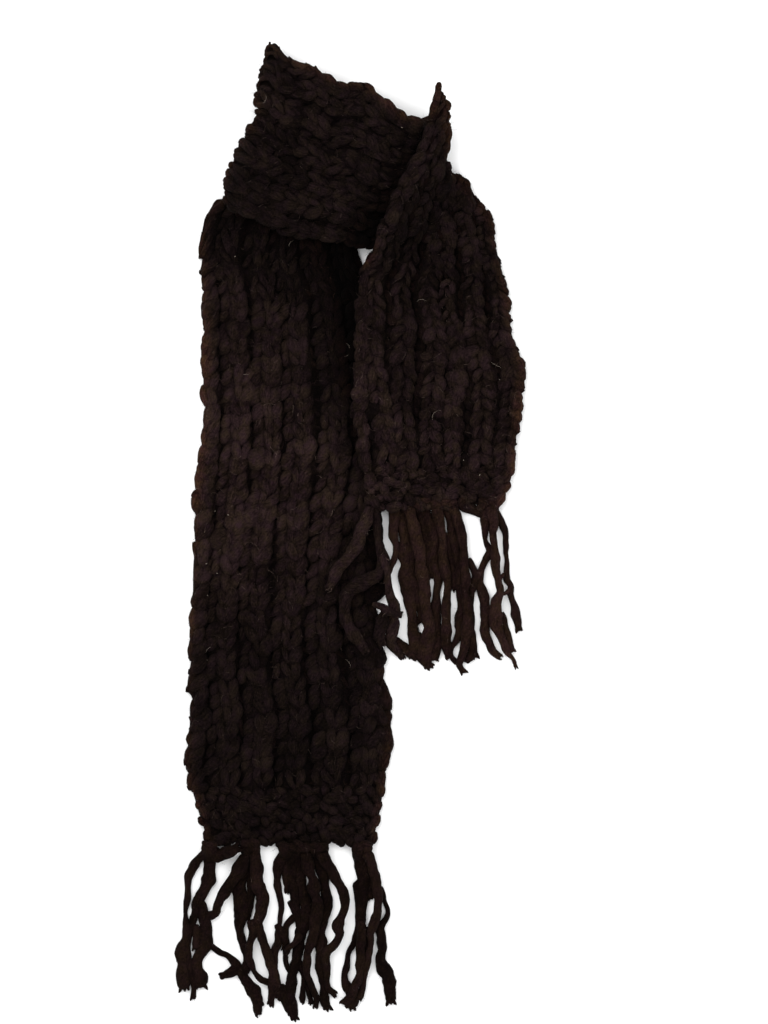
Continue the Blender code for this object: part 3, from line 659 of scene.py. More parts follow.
# Bright specks of lint: where each lies
LINT_SPECKS = [
    (-0.1156, 0.0162), (-0.1046, 0.0128), (-0.1232, -0.0289), (-0.1139, -0.0366), (-0.1224, -0.0544),
    (-0.1224, -0.1105), (0.0799, 0.1037), (0.1097, 0.0459), (0.0808, 0.1488), (0.1267, 0.1284),
    (-0.0986, 0.2326), (0.0431, 0.3423), (0.1224, 0.0519), (0.0961, 0.0590),
]


def unit(vectors):
    """The same directions with a length of 1."""
    return vectors / np.maximum(np.linalg.norm(vectors, axis=-1, keepdims=True), TINY)


def distances_along(line):
    """How far along a line each of its points lies."""
    steps = np.linalg.norm(np.diff(line, axis=0), axis=1)
    return np.concatenate([[0], np.cumsum(steps)])


def through(rows, positions):
    """A table read at fractional row numbers, along a smooth curve through its rows."""
    table = np.asarray(rows, float)
    last = len(table) - 1
    positions = np.clip(positions, 0, last)
    row = np.minimum(positions.astype(int), last - 1)
    t = (positions - row).reshape(-1, *[1] * (table.ndim - 1))
    p0, p1 = table[np.maximum(row - 1, 0)], table[row]
    p2, p3 = table[row + 1], table[np.minimum(row + 2, last)]
    curve = 2 * p1 + (p2 - p0) * t + (2 * p0 - 5 * p1 + 4 * p2 - p3) * t ** 2
    return 0.5 * (curve + (3 * p1 - p0 - 3 * p2 + p3) * t ** 3)


def finer(rows):
    """A table of turns with more rows, along a smooth curve through the given ones."""
    last = len(rows) - 1
    return through(rows, np.linspace(0, last, last * TURN_SAMPLES + 1))


def blend(grid, row, column, t, s):
    """A grid's values t of the way from one row to the next and s of the way between columns."""
    near = grid[row, column] * (1 - s) + grid[row, column + 1] * s
    far = grid[row + 1, column] * (1 - s) + grid[row + 1, column + 1] * s
    return near * (1 - t) + far * t


def smooth_noise(rng, shape, reach):
    """Random values of unit spread that vary slowly along the last axis."""
    values = rng.normal(0, 1, (*shape[:-1], shape[-1] + 2 * reach))
    kernel = np.hanning(2 * reach + 3)[1:-1]
    kernel /= np.sqrt((kernel ** 2).sum())
    return np.apply_along_axis(np.convolve, -1, values, kernel, "valid")[..., :shape[-1]]


def node_trees(names):
    """The named solids of the frame, ready for rays."""
    trees = []
    for name in names:
        mesh = frame["nodes"][name].data
        faces = [tuple(face.vertices) for face in mesh.polygons]
        trees.append(BVHTree.FromPolygons([vertex.co for vertex in mesh.vertices], faces))
    return trees


def top_of(trees, x, y):
    """The height of the highest of some solids over a place, or 0 beside them."""
    highest = 0.0
    for tree in trees:
        hit = tree.ray_cast(Vector((x, y, HIGH_ABOVE)), -UP)[0]
        if hit is not None:
            highest = max(highest, hit.z)
    return highest


class Relief:
    """The height of the whole pile on a grid, and the painted shade where it hides the sky from a place.
    """

    def __init__(self, names):
        low, high = (np.array(corner)[:2] for corner in CAD_BOX)
        self.origin = low
        self.shape = np.ceil((high - low) / RELIEF_STEP).astype(int) + 1
        self.heights = np.zeros(self.shape)
        trees = node_trees(names)
        for cell in np.ndindex(*self.shape):
            self.heights[cell] = top_of(trees, *(self.origin + np.array(cell) * RELIEF_STEP))
        self.rims = self.measure_rims([name for name in names if name.startswith("fringe")])

    def measure_rims(self, fringes):
        """How near each cell is to the outline, for the painted glow: the gaps in a fringe are no edge."""
        empty = self.heights == 0
        for name in fringes:
            points = np.array([vertex.co[:2] for vertex in frame["nodes"][name].data.vertices])
            corners = np.array((points.min(0), points.max(0)))
            low, high = np.rint((corners - self.origin) / RELIEF_STEP).astype(int)
            empty[low[0]:high[0] + 1, low[1]:high[1] + 1] = False
        cells = math.ceil(RIM_DEPTH / RELIEF_STEP)
        empty = np.pad(empty, cells, constant_values=True)
        nearest = np.full(self.shape, RIM_DEPTH)
        for i, j in np.ndindex(2 * cells + 1, 2 * cells + 1):
            reached = empty[i:i + self.shape[0], j:j + self.shape[1]]
            distance = math.hypot(i - cells, j - cells) * RELIEF_STEP
            nearest[reached] = np.minimum(nearest[reached], distance)
        return 1 - nearest / RIM_DEPTH

    def rim(self, places):
        """The painted glow's mask: how near each place is to the pile's outline, 1 on it, 0 well inside.
        """
        at = (places[:, :2] - self.origin) / RELIEF_STEP
        i, j = cell = np.clip(np.floor(at).astype(int), 0, self.shape - 2).T
        s, t = np.clip(at.T - cell, 0, 1)
        return blend(self.rims.T, j, i, t, s)

    def shade(self, places):
        """The painted shade at each place: the share of light that would reach it past higher neighbours.
        """
        hidden = np.zeros(places.shape[:-1])
        for turn in np.arange(RELIEF_DIRECTIONS) * math.tau / RELIEF_DIRECTIONS:
            slope = np.zeros_like(hidden)
            for reach in RELIEF_REACHES:
                shift = np.array((math.cos(turn), math.sin(turn))) * reach
                cell = np.rint((places[..., :2] + shift - self.origin) / RELIEF_STEP).astype(int)
                cell = np.clip(cell, 0, self.shape - 1)
                rise = self.heights[cell[..., 0], cell[..., 1]] - places[..., 2]
                slope = np.maximum(slope, rise / reach)
            hidden += np.sin(np.arctan(slope)) / RELIEF_DIRECTIONS
        return np.maximum(1 - SHADE_DEPTH * hidden, SHADE_LEAST)


@lru_cache
def whole_relief():
    """The relief of all solids, measured once."""
    return Relief(frame["nodes"])


def strip_plan(piece, across, along):
    """Where the places of a laid strip lie, seen from above: between its selvedges, its start turned."""
    rows = through(piece.rows, along * (len(piece.rows) - 1))
    places = rows[:, :2] + (rows[:, 2:] - rows[:, :2]) * across[:, None]
    if piece.bends:
        shares, *shifts = np.array(piece.bends, float).T
        faded = np.clip(along / TURN_FADE, 0, 1)
        kept = 1 - faded * faded * (3 - 2 * faded)
        for axis, shift in enumerate(shifts):
            places[:, axis] += np.interp(across, shares, shift) * kept
    return places


def probe_underside(name, piece, across, along):
    """The height of a solid's underside at places of its strip, felt a little in from the edges."""
    tree, = node_trees([name])
    start = PROBE_FOLD if piece.fold else PROBE_END
    inside = np.clip(across, PROBE_INSET, 1 - PROBE_INSET), np.clip(along, start, 1 - PROBE_END)
    heights = [0.0]
    for x, y in strip_plan(piece, *inside):
        hit = tree.ray_cast(Vector((x, y, -PROBE_DEPTH)), UP)[0]
        heights.append(heights[-1] if hit is None else hit.z)
    return np.array(heights[1:])


def smoothed(heights):
    """A grid of heights, evened out along both axes."""
    for _ in range(SURFACE_SMOOTHING):
        for axis, size in enumerate(heights.shape):
            padded = np.pad(heights, [(1, 1) if a == axis else (0, 0) for a in (0, 1)], "edge")
            before = np.take(padded, range(size), axis)
            after = np.take(padded, range(2, size + 2), axis)
            heights = (before + 2 * heights + after) / 4
    return heights


class Laid:
    """The surface that a strip's stitches grow from: the underside of its solid, as a grid."""

    def __init__(self, name, piece, relief):
        shape = (GRID_ALONG + 1, GRID_ACROSS + 1)
        grid = np.meshgrid(np.linspace(0, 1, shape[1]), np.linspace(0, 1, shape[0]))
        across, along = (values.ravel() for values in grid)
        self.steps = np.linspace(0, 1, ALONG_SAMPLES)
        middle = strip_plan(piece, np.full(ALONG_SAMPLES, piece.measured), self.steps)
        self.distances = distances_along(middle)
        self.length = self.distances[-1]
        self.fold = piece.fold
        heights = smoothed(probe_underside(name, piece, across, along).reshape(shape))
        if piece.sink:
            left = self.length - np.interp(along, self.steps, self.distances)
            sunk = 1 - np.clip(left / piece.sink, 0, 1).reshape(shape)
            heights = heights - SINK_DEPTH * sunk * sunk
        plan = strip_plan(piece, across, along)
        self.places = np.dstack([plan.reshape(*shape, 2), heights])
        by_along, by_across = np.gradient(self.places, axis=(0, 1))
        normals = unit(np.cross(by_across, by_along))
        self.normals = unit(normals * np.sign(normals[..., 2:3]) * (TILT_KEPT, TILT_KEPT, 1))
        self.ahead = unit(by_along)
        self.width = float(np.median(np.linalg.norm(self.places[:, -1] - self.places[:, 0], axis=1)))
        self.spacing = np.linalg.norm(by_along, axis=-1)
        # Painted light and shade: the piece's table across and along, times the painted shade of the
        # relief
        shares, *sides = np.array(piece.shades).T
        left, right = (np.interp(along, shares, side) for side in sides)
        painted_light_and_shade = np.maximum(left + (right - left) * across ** SHADE_LATE, SHADE_LEAST).reshape(shape)
        self.shades = relief.shade(self.places + (0, 0, CREST_ABOVE)) * painted_light_and_shade

    def share(self, distance):
        """The share of the way along at a distance from the strip's start."""
        return np.interp(distance, self.distances, self.steps)

    def sample(self, grid, across, along):
        """Vectors of a grid between its points, carried on straight past its edges."""
        column = np.clip(np.floor(across * GRID_ACROSS), 0, GRID_ACROSS - 1).astype(int)
        row = np.clip(np.floor(along * GRID_ALONG), 0, GRID_ALONG - 1).astype(int)
        s = (across * GRID_ACROSS - column)[..., None]
        t = (along * GRID_ALONG - row)[..., None]
        return blend(grid, row, column, t, s)

    def value(self, grid, across, along):
        """Numbers of a grid between its points."""
        return self.sample(grid[..., None], across, along)[..., 0]

    def at(self, across, distance, height, folding=True):
        """Places at a height over the surface, and which way is out of the cloth there.

        Where the strip starts with a fold, it turns under round an axis inside its edge.
        """
        folding = folding and self.fold
        if folding:
            turn = np.clip((self.fold - distance) / FOLD_ARC, 0, math.pi)
            over = height - FOLD_CORE
            distance = np.where(turn > 0, self.fold - over * np.sin(turn), distance)
            height = np.where(turn > 0, FOLD_CORE + over * np.cos(turn), height)
        along = self.share(np.clip(distance, 0, self.length))
        normals = unit(self.sample(self.normals, across, along))
        places = self.sample(self.places, across, along) + normals * height[..., None]
        if folding:
            ahead = unit(self.sample(self.ahead, across, along))
            places = places + ahead * np.minimum(distance, 0)[..., None]
            turn = turn[..., None]
            normals = normals * np.cos(turn) - ahead * np.sin(turn)
        return places, normals


class Yarns:
    """Tubes of yarn gathered into one mesh, with what their material reads on each point."""

    def __init__(self, sides=YARN_SIDES, lumps=YARN_LUMPS, flatness=YARN_FLATNESS):
        self.sides, self.lumps, self.flatness = sides, lumps, flatness
        self.kept = {"point": [], "out": [], "fibre": [], "tint": [], "shade": []}
        self.faces = []
        self.count = 0

    def lay(self, line, radii, shade, rng, tint=0.5, flatness=1.0):
        """Adds one tube along a line of points, the right way up and in one shade."""
        each = (1, len(line))
        upright = np.broadcast_to(UPRIGHT, (1, *line.shape))
        tints, shades = np.broadcast_to(tint, each), np.broadcast_to(shade, each)
        self.add(line[None], upright, radii[None], tints, shades, rng, flatness)

    def add(self, points, hints, radii, tints, shades, rng, flatness=1.0):
        """Adds one tube for each row of points: hints say which way is up for each ring."""
        tubes, rings = points.shape[:2]
        tangents = unit(np.gradient(points, axis=1))
        sideways = unit(np.cross(tangents, hints))
        upward = np.cross(sideways, tangents)
        turn = np.linspace(0, math.tau, self.sides, endpoint=False)
        flat = np.broadcast_to(np.asarray(self.flatness * flatness), (tubes, rings))
        out = (np.cos(turn)[:, None] * sideways[:, :, None]
               + np.sin(turn)[:, None] * flat[..., None, None] * upward[:, :, None])
        lumps = rng.normal(0, self.lumps, (tubes, rings, self.sides))
        lumps[:, 1:] = (lumps[:, 1:] + lumps[:, :-1]) / LUMPS_EVENED
        around = points[:, :, None] + out * (radii[..., None, None] * (1 + lumps)[..., None])
        around[..., 2] = np.maximum(around[..., 2], FLOOR_GAP)
        steps = np.linalg.norm(np.diff(points, axis=1), axis=2)
        run = np.concatenate([np.zeros((tubes, 1)), np.cumsum(steps, axis=1)], axis=1)
        run += rng.uniform(0, FIBRE_OFFSET, (tubes, 1))
        angle = turn + (run * YARN_TWIST)[..., None]
        fibre = np.stack([
            np.broadcast_to(run[..., None], angle.shape),
            radii[..., None] * np.cos(angle), radii[..., None] * np.sin(angle)
        ], axis=-1)
        self.add_faces(tubes, rings)
        self.keep("point", around, points[:, [0, -1]])
        self.keep("out", unit(out), hints[:, [0, -1]])
        self.keep("fibre", fibre, fibre[:, [0, -1]].mean(axis=2))
        for name, values in (("tint", tints), ("shade", shades)):
            even = np.broadcast_to(values[..., None, None], (tubes, rings, self.sides, 1))
            self.keep(name, even, values[:, [0, -1], None])

    def keep(self, name, around, ends):
        """Keeps what belongs to each point of some tubes: round their rings, then at their two ends."""
        around = around.reshape(len(around), -1, around.shape[-1])
        self.kept[name].append(np.concatenate([around, ends], axis=1).reshape(-1, around.shape[-1]))

    def whole(self, name):
        """What was kept for all points so far."""
        return np.concatenate(self.kept[name])

    def add_faces(self, tubes, rings):
        """The sides of some tubes, then the caps on their two ends."""
        tube_size = rings * self.sides + 2
        first = self.count + np.arange(tubes)[:, None, None] * tube_size
        ring = np.arange(rings - 1)[None, :, None] * self.sides
        side = np.arange(self.sides)[None, None, :]
        after = (side + 1) % self.sides
        quads = np.stack([
            first + ring + side, first + ring + after,
            first + ring + self.sides + after, first + ring + self.sides + side
        ], axis=-1)
        self.faces += quads.reshape(-1, 4).tolist()
        for start in range(self.count, self.count + tubes * tube_size, tube_size):
            cap = start + rings * self.sides
            last = cap - self.sides
            for i in range(self.sides):
                j = (i + 1) % self.sides
                self.faces.append((start + j, start + i, cap))
                self.faces.append((last + i, last + j, cap + 1))
        self.count += tubes * tube_size

    def build(self, name, material, rimmed=True):
        """The mesh object of all tubes so far."""
        points = self.whole("point")
        mesh = new_mesh(name, points, self.faces)
        # The painted glow near the pile's outline
        if rimmed:
            store_values(mesh, "rim", whole_relief().rim(points))
        store_values(mesh, "tint", self.whole("tint"))
        store_values(mesh, "shade", self.whole("shade"))
        store_values(mesh, "fibre", self.whole("fibre"), "FLOAT_VECTOR", "vector")
        mesh.shade_smooth()
        return add_object(name, mesh, material)


def new_mesh(name, points, faces):
    """A mesh from an array of points and a list of faces."""
    mesh = bpy.data.meshes.new(name)
    mesh.from_pydata(points.tolist(), [], faces)
    return mesh


def store_values(mesh, name, values, kind="FLOAT", field="value"):
    """Stores a number or a vector on each point, for the materials to read."""
    attribute = mesh.attributes.new(name, kind, "POINT")
    attribute.data.foreach_set(field, np.asarray(values, float).ravel())


def add_object(name, mesh, material):
    """An object in the scene, in one material."""
    mesh.materials.append(material)
    obj = bpy.data.objects.new(name, mesh)
    bpy.context.scene.collection.objects.link(obj)
    return obj


def rib_plan(piece, laid):
    """Each rib of a row as (rolled, centre, width): rolled is -1 or 1 where its selvedge rolls in."""
    ribs, last = [], len(piece.valleys) - 2
    for number, (low, high) in enumerate(zip(piece.valleys, piece.valleys[1:])):
        rolled, centre, width = 0, low + (high - low) * piece.place, (high - low) * piece.knit
        if number == 0:
            centre = (low + high) / 2
        if piece.rolled and number in (0, last):
            rolled = -1 if number == 0 else 1
            inset = ROLLED_CENTRE / laid.width
            centre = inset if rolled < 0 else 1 - inset
            width = ROLLED_WIDTH / laid.width
        ribs.append((rolled, centre, width))
    return ribs


def row_places(piece, laid):
    """The turns of one row of yarn, from the first rib's foot across to the last one's."""
    mirrored = [turn._replace(across=-turn.across) for turn in reversed(KNIT_HALF[:-1])]
    places = []
    for rib, (rolled, centre, width) in enumerate(rib_plan(piece, laid)):
        if places:
            foot = places[-1].across
            next_foot = centre + KNIT_HALF[0].across * width * (ROLLED_ACROSS if rolled < 0 else 1)
            for turn in PURL:
                across = foot + (next_foot - foot) * turn.across
                height = turn.height * piece.bump
                places.append(Placed(rib, PURL_LEG, centre, across, turn.along, height, turn.girth))
        for turn in KNIT_HALF + mirrored:
            across, height = turn.across * width, turn.height
            leg = 0 if turn.across < 0 else 1
            if turn.across * rolled > 0:
                across *= ROLLED_ACROSS
                height *= ROLLED_HEIGHT
            elif turn is mirrored[-1]:
                height *= LAST_FOOT
            girth = turn.girth * LEG_GIRTHS[leg]
            places.append(Placed(rib, leg, centre, centre + across, turn.along, height, girth))
    return places


def rib_steps(rows, ribs):
    """How far each rib pulls each row up or down, in rows: not at all where the ribs start and end."""
    to_end = np.minimum(np.arange(rows), np.arange(rows)[::-1])
    steps = RIB_STEP * (np.arange(ribs) * RIB_TURN % 1 - 0.5)
    return np.clip(to_end / RIB_STEP_ROWS, 0, 1)[:, None] * steps


def knit_courses(yarns, piece, laid, knit, rng):
    """Rows of knit stitches with a purl bump in each valley, one tube for each row."""
    start = piece.fold - FOLD_ARC * FOLD_TURN if piece.fold else 0.0
    plain = laid.length - piece.border - start
    count = max(1, round(plain / piece.pitch))
    pitch = plain / count
    places = row_places(piece, laid)
    rib, leg, centre, across, along, height, girth = (np.array(values) for values in zip(*places))
    part = rib * LEGS + leg
    stray = Stray(*(share * knit.looseness for share in KNIT_STRAY))
    by_rib = (count, len(piece.valleys))
    by_part = (count, len(piece.valleys) * LEGS)
    shift = rng.normal(0, stray.sideways, by_rib)[:, rib]
    shift = shift + (stray.drift * smooth_noise(rng, by_rib[::-1], DRIFT_REACH)).T[:, rib]
    climb = (rng.normal(0, stray.climb, by_rib) + rib_steps(*by_rib))[:, rib]
    swell = np.exp(rng.normal(0, stray.girth, by_part))[:, part]
    stand = 1 + rng.normal(0, stray.height, by_part)[:, part]
    lean = rng.normal(0, stray.lean, by_rib)[:, rib]
    tint = rng.uniform(0, 1, by_rib)[:, rib]
    rows = start + (np.arange(count) + 0.5 + rng.normal(0, stray.row, count)) * pitch
    offset = np.where(leg < PURL_LEG, across - centre, 0) * laid.width
    distance = rows[:, None] + piece.towards * (along + climb) * pitch + lean * offset
    across = across + (shift - lean * piece.towards * along * pitch) / laid.width
    distance = distance + rng.normal(0, stray.along, distance.shape)
    across = across + rng.normal(0, stray.across, across.shape) / laid.width
    radii = girth * swell * knit.yarn * piece.yarn
    table = np.stack([across, distance, height * stand * knit.crest, radii, tint])
    across, distance, height, radii, tint = np.moveaxis(finer(np.moveaxis(table, 2, 0)), 0, 2)
    radii = radii * (1 + stray.thick * smooth_noise(rng, radii.shape, LUMP_REACH))
    share = laid.share(np.clip(distance, 0, laid.length))
    tight = np.clip(laid.value(laid.spacing, across, share) / np.median(laid.spacing), *TIGHT_LIMITS)
    # Painted shade: the colour darkens from a stitch's crest down into its groove
    lit = piece.groove + (1 - piece.groove) * np.clip(height / knit.crest, 0, 1) ** GROOVE_FADE
    shades = laid.value(laid.shades, across, share) * lit
    if piece.fold:
        near = 1 - np.clip(distance / (FOLD_REACH * piece.fold), 0, 1)
        height = height + (FOLD_CREST * knit.crest - height) * FOLD_EVENED * near
    height = np.maximum(height, radii * tight * YARN_FLATNESS + CLOTH_LIFT)
    points, hints = laid.at(across, distance, height)
    if piece.taper:
        *gathered, farthest = piece.taper
        reach = np.linalg.norm(points[..., :2] - gathered, axis=-1) / farthest
        tight = tight * (TAPER_LEAST + (1 - TAPER_LEAST) * np.clip(reach, 0, 1))
    yarns.add(points, hints, radii * tight, tint, shades, rng)


def seed_border(yarns, piece, laid, knit, rng):
    """The border: plump bumps in offset rows that lean every way."""
    loose, span = knit.looseness, laid.width - 2 * SEED_HALF
    columns = round(span / SEED_ACROSS)
    across, distance, heading, edge = [], [], [], []
    for row in range(round((piece.border - SEED_HEM) / SEED_ALONG)):
        odd = row % 2
        for stitch in range(columns + odd):
            across.append(SEED_HALF + (stitch + 0.5 - odd * 0.5) * span / columns)
            distance.append(laid.length - SEED_FIRST - row * SEED_ALONG)
            heading.append(SEED_LEAN if (stitch + row) % 2 else -SEED_LEAN * SEED_LEAN_BACK)
            edge.append(stitch in (0, columns + odd - 1))
    count = len(across)
    across = np.clip(across, SEED_SIDE, laid.width - SEED_SIDE) + rng.normal(0, SEED_STRAY * loose, count)
    distance = np.array(distance) + rng.normal(0, SEED_STRAY * loose, count)
    heading = np.where(edge, math.pi / 2, heading)
    heading = heading + rng.normal(0, 1, count) * np.where(edge, SEED_TWIST_EDGE, SEED_TWIST) * loose
    size = 1 + rng.normal(0, SEED_SIZES * loose, (count, 1))
    turn = Turn(*finer(SEED_TURNS).T)
    arc = SEED_HALF * turn.across * size
    bow = SEED_BOW * (1 - turn.across ** 2) * rng.normal(0, 1, (count, 1))
    cos, sin = np.cos(heading)[:, None], np.sin(heading)[:, None]
    across = (across[:, None] + arc * cos - bow * sin) / laid.width
    distance = np.minimum(distance[:, None] + arc * sin + bow * cos, laid.length - SEED_HEM)
    height = turn.height * size * knit.crest * rng.uniform(*SEED_CRESTS, (count, 1))
    radii = turn.girth * size * knit.yarn * SEED_GIRTH
    height = np.maximum(height, radii * YARN_FLATNESS + CLOTH_LIFT)
    tint = np.broadcast_to(rng.uniform(0, 1, (count, 1)), radii.shape)
    shades = laid.value(laid.shades, across, laid.share(distance))
    points, hints = laid.at(across, distance, height)
    yarns.add(points, hints, radii, tint, shades, rng)


def add_cloth(name, piece, laid, material):
    """The thin shell under the stitches: flat below, ribbed above, closed all round."""
    inset = CLOTH_INSET / laid.width
    below = np.linspace(inset, 1 - inset, CLOTH_BELOW)
    ribs = []
    for low, high in zip(piece.valleys, piece.valleys[1:]):
        ribs += [(low + (high - low) * i / CLOTH_SAMPLES, i / CLOTH_SAMPLES) for i in range(CLOTH_SAMPLES)]
    above, phase = np.array([rib for rib in reversed(ribs) if inset < rib[0] < 1 - inset]).T
    swell = np.sin(math.pi * phase) ** 0.5
    side = CLOTH_LIFT + CLOTH_EDGE / 2
    across = np.concatenate([below, [1 - inset * CLOTH_BULGE], above, [inset * CLOTH_BULGE]])
    rings, shades = [], []
    for distance in np.linspace(CLOTH_START if piece.fold else 0, laid.length - CLOTH_END, GRID_ALONG):
        plain = laid.length - distance < piece.border
        rise = np.full(len(above), CLOTH_BORDER_RISE) if plain else swell
        top = CLOTH_VALLEY + (CLOTH_CREST - CLOTH_VALLEY) * rise
        height = np.concatenate([np.full(len(below), CLOTH_LIFT), [side], top, [side]])
        # Painted shade: the shell's colour darkens in its valleys
        deep = piece.groove + (1 - piece.groove) * rise ** 2
        deep = np.concatenate([np.ones(len(below) + 1), deep, [1]])
        distances = np.full(len(across), distance)
        rings.append(laid.at(across, distances, height, folding=False)[0])
        shades.append(laid.value(laid.shades, across, laid.share(distances)) * deep)
    return loft(name, np.array(rings), material, np.array(shades).ravel())


def loft(name, rings, material, shades=1.0):
    """A closed skin through rings that have the same number of points."""
    count, size = rings.shape[:2]
    faces = []
    for i in range(count - 1):
        for j in range(size):
            k = (j + 1) % size
            faces.append((i * size + j, i * size + k, (i + 1) * size + k, (i + 1) * size + j))
    faces.append(tuple(reversed(range(size))))
    faces.append(tuple(range((count - 1) * size, count * size)))
    points = rings.reshape(-1, 3)
    mesh = new_mesh(name, points, faces)
    flip_outward(mesh)
    store_values(mesh, "shade", np.broadcast_to(shades, len(points)))
    # How much painted glow each point gets near the pile's outline
    store_values(mesh, "rim", whole_relief().rim(points))
    mesh.shade_smooth()
    return add_object(name, mesh, material)


def flip_outward(mesh):
    """Turns a closed mesh inside out if its faces point inwards."""
    points = np.array([vertex.co for vertex in mesh.vertices])
    volume = 0.0
    for face in mesh.polygons:
        corners = points[list(face.vertices)]
        for a, b in zip(corners[1:], corners[2:]):
            volume += np.dot(corners[0], np.cross(a, b))
    if volume < 0:
        mesh.flip_normals()


def add_fuzz(name, yarns, count, longest, material, rng):
    """Loose fibres that leave the yarn and bend over along it, each a fine curved spike."""
    outs = yarns.whole("out")
    upper = np.flatnonzero(outs[:, 2] > HAIR_FACING)
    picked = rng.choice(upper, count, replace=count > len(upper))
    root, out = yarns.whole("point")[picked], outs[picked]
    out = unit(out + rng.normal(0, HAIR_SPREAD, out.shape) + np.array([0, 0, HAIR_RISE]))
    heading = rng.uniform(0, math.tau, count)
    length = longest * rng.uniform(HAIR_SHORTEST, 1.0, count) ** HAIR_SHORTER
    curl = rng.normal(0, HAIR_CURL, count)
    rings, reach = [], np.zeros((count, 3))
    for step in range(HAIR_STEPS):
        share = step / (HAIR_STEPS - 1)
        angle = heading + curl * share
        along = np.column_stack([np.cos(angle), np.sin(angle), np.zeros(count)])
        lift = math.sin(math.pi * (HAIR_ARC[0] + HAIR_ARC[1] * share)) * HAIR_LIFT * length
        centre = root - out * HAIR_ROOT + reach + out * lift[:, None]
        side = np.cross(along, out)
        thick = HAIR_THICKNESS * (1.0 - HAIR_TAPER * share)
        for outward, sideways in HAIR_CORNERS:
            rings.append(centre + (out * outward + side * sideways) * thick)
        reach = reach + along * (length / HAIR_STEPS)[:, None]
    points = np.stack(rings, axis=1)
    points[..., 2] = np.maximum(points[..., 2], HAIR_LOWEST)
    size = 3 * HAIR_STEPS
    spike = [(0, 1, 2), (size - 1, size - 2, size - 3)]
    for step in range(HAIR_STEPS - 1):
        for i in range(3):
            j = (i + 1) % 3
            spike.append((3 * step + j, 3 * step + i, 3 * step + 3 + i, 3 * step + 3 + j))
    faces = []
    for hair in range(count):
        faces += [tuple(size * hair + corner for corner in face) for face in spike]
    mesh = new_mesh(name, points.reshape(-1, 3), faces)
    store_values(mesh, "shade", np.repeat(yarns.whole("shade")[picked], size))
    return add_object(name, mesh, material)


def rest_on(trees, x, y):
    """The highest place within a strand's reach."""
    highest = top_of(trees, x, y)
    for turn in np.arange(STRAND_RAYS) * math.tau / STRAND_RAYS:
        for share in STRAND_RINGS:
            dx = STRAND_REACH * share * math.cos(turn)
            dy = STRAND_REACH * share * math.sin(turn)
            highest = max(highest, top_of(trees, x + dx, y + dy))
    return highest


def strand_line(strand, fuller, trees):
    """One strand from its knot to its tip: its middle line, radii, flatness and what it rests on."""
    route = np.array(strand.route) * MM
    route[-1, :2] += unit(route[-1, :2] - route[-2, :2]) * TIP_REACH
    run = distances_along(route[:, :2])
    count = max(STRAND_FEWEST, round(run[-1] / STRAND_STEP))
    at = np.interp(np.linspace(0, run[-1], count), run, np.arange(len(route)))
    x, y, width = through(route, at).T
    width = width + fuller
    half = np.minimum(width / 2, STRAND_THICKNESS)
    felt = np.linspace(0, count - 1, max(FELT_FEWEST, count // FELT_EVERY)).astype(int)
    rests = np.interp(np.arange(count), felt, [rest_on(trees, x[i], y[i]) for i in felt])
    down = np.clip((1 - np.linspace(0, 1, count)) / COMES_DOWN, COMES_DOWN, 1)
    height = rests + FLOOR_GAP + half + strand.layer * LAYER_HEIGHT * down
    return np.column_stack([x, y, height]), width / 2, half * 2 / width, rests


def add_fringe(name, trees, settings, made, rng):
    """A knotted group: strands of roving with frayed tips, and the hitches that tie them on."""
    yarns = Yarns(STRAND_SIDES, STRAND_LUMPS, flatness=1.0)
    end, shade = name.split("_")[0], FRINGE_SHADES[name]
    for strand in FRINGES[name]:
        line, radii, flat, rests = strand_line(strand, STRAND_FULLER[end], trees)
        count = len(line)
        loose = np.clip(np.arange(count) / SWAY_FROM, 0, 1)
        wave = smooth_noise(rng, (2, count), SWAY_REACH) * settings.wave * loose
        line[:, 0] += wave[0]
        line[:, 1] += wave[1] * SWAY_ALONG
        radii = radii * (1 + settings.thick_thin * smooth_noise(rng, (1, count), THICK_REACH)[0])
        radii[-2:] *= TIP_RADII
        if abs(line[0, 1] - HEMS[end]) < TIED_WITHIN:
            line[0, 2] = rests[0] + STRAND_ROOT
            line = np.concatenate([line[0] + KNOT_LEAD, line])
            radii = np.concatenate([radii[:1] * KNOT_RADII, radii])
            flat = np.concatenate([flat[:2], flat])
            tie_hitch(yarns, line[1], radii[2], shade, rng)
        else:
            radii[:2] *= FREE_RADII
        tint = rng.uniform(*STRAND_TINTS)
        lit = shade * LAYER_SHADES[strand.layer] * rng.uniform(*STRAND_LIGHT)
        yarns.lay(line, radii, lit, rng, tint, flat)
        fray_tip(yarns, line, radii[-4], lit, rng)
    finish = "yarn" if name == ON_CLOTH else "roving"
    fringe = yarns.build(f"fringe_{name}_roving", made[finish], rimmed=False)
    fuzz = add_fuzz(f"fringe_{name}_fuzz", yarns, settings.fuzz, FRINGE_HAIR, made["fuzz"], rng)
    return fringe, fuzz


def fray_tip(yarns, line, radius, shade, rng):
    """A few thin wisps that leave the end of a strand."""
    tip, heading = line[-2], unit(line[-1] - line[-4])
    side = unit(np.cross(heading, UPRIGHT))
    behind, ahead, aside, bent, lower, girth = np.array(WISP_TURNS).T
    for wisp in np.linspace(-1, 1, WISPS):
        spread = side * wisp * radius * WISP_SPREAD
        along = ahead * rng.uniform(*WISP_REACH) - behind
        bend = side * rng.normal(0, WISP_BEND)
        path = tip + np.outer(along, heading) + np.outer(aside, spread) + np.outer(bent, bend)
        path[:, 2] = np.maximum(path[:, 2] - lower * radius, WISP_LOWEST)
        yarns.lay(path, min(radius, WISP_WIDEST) * rng.uniform(*WISP_GIRTHS) * girth, shade, rng)


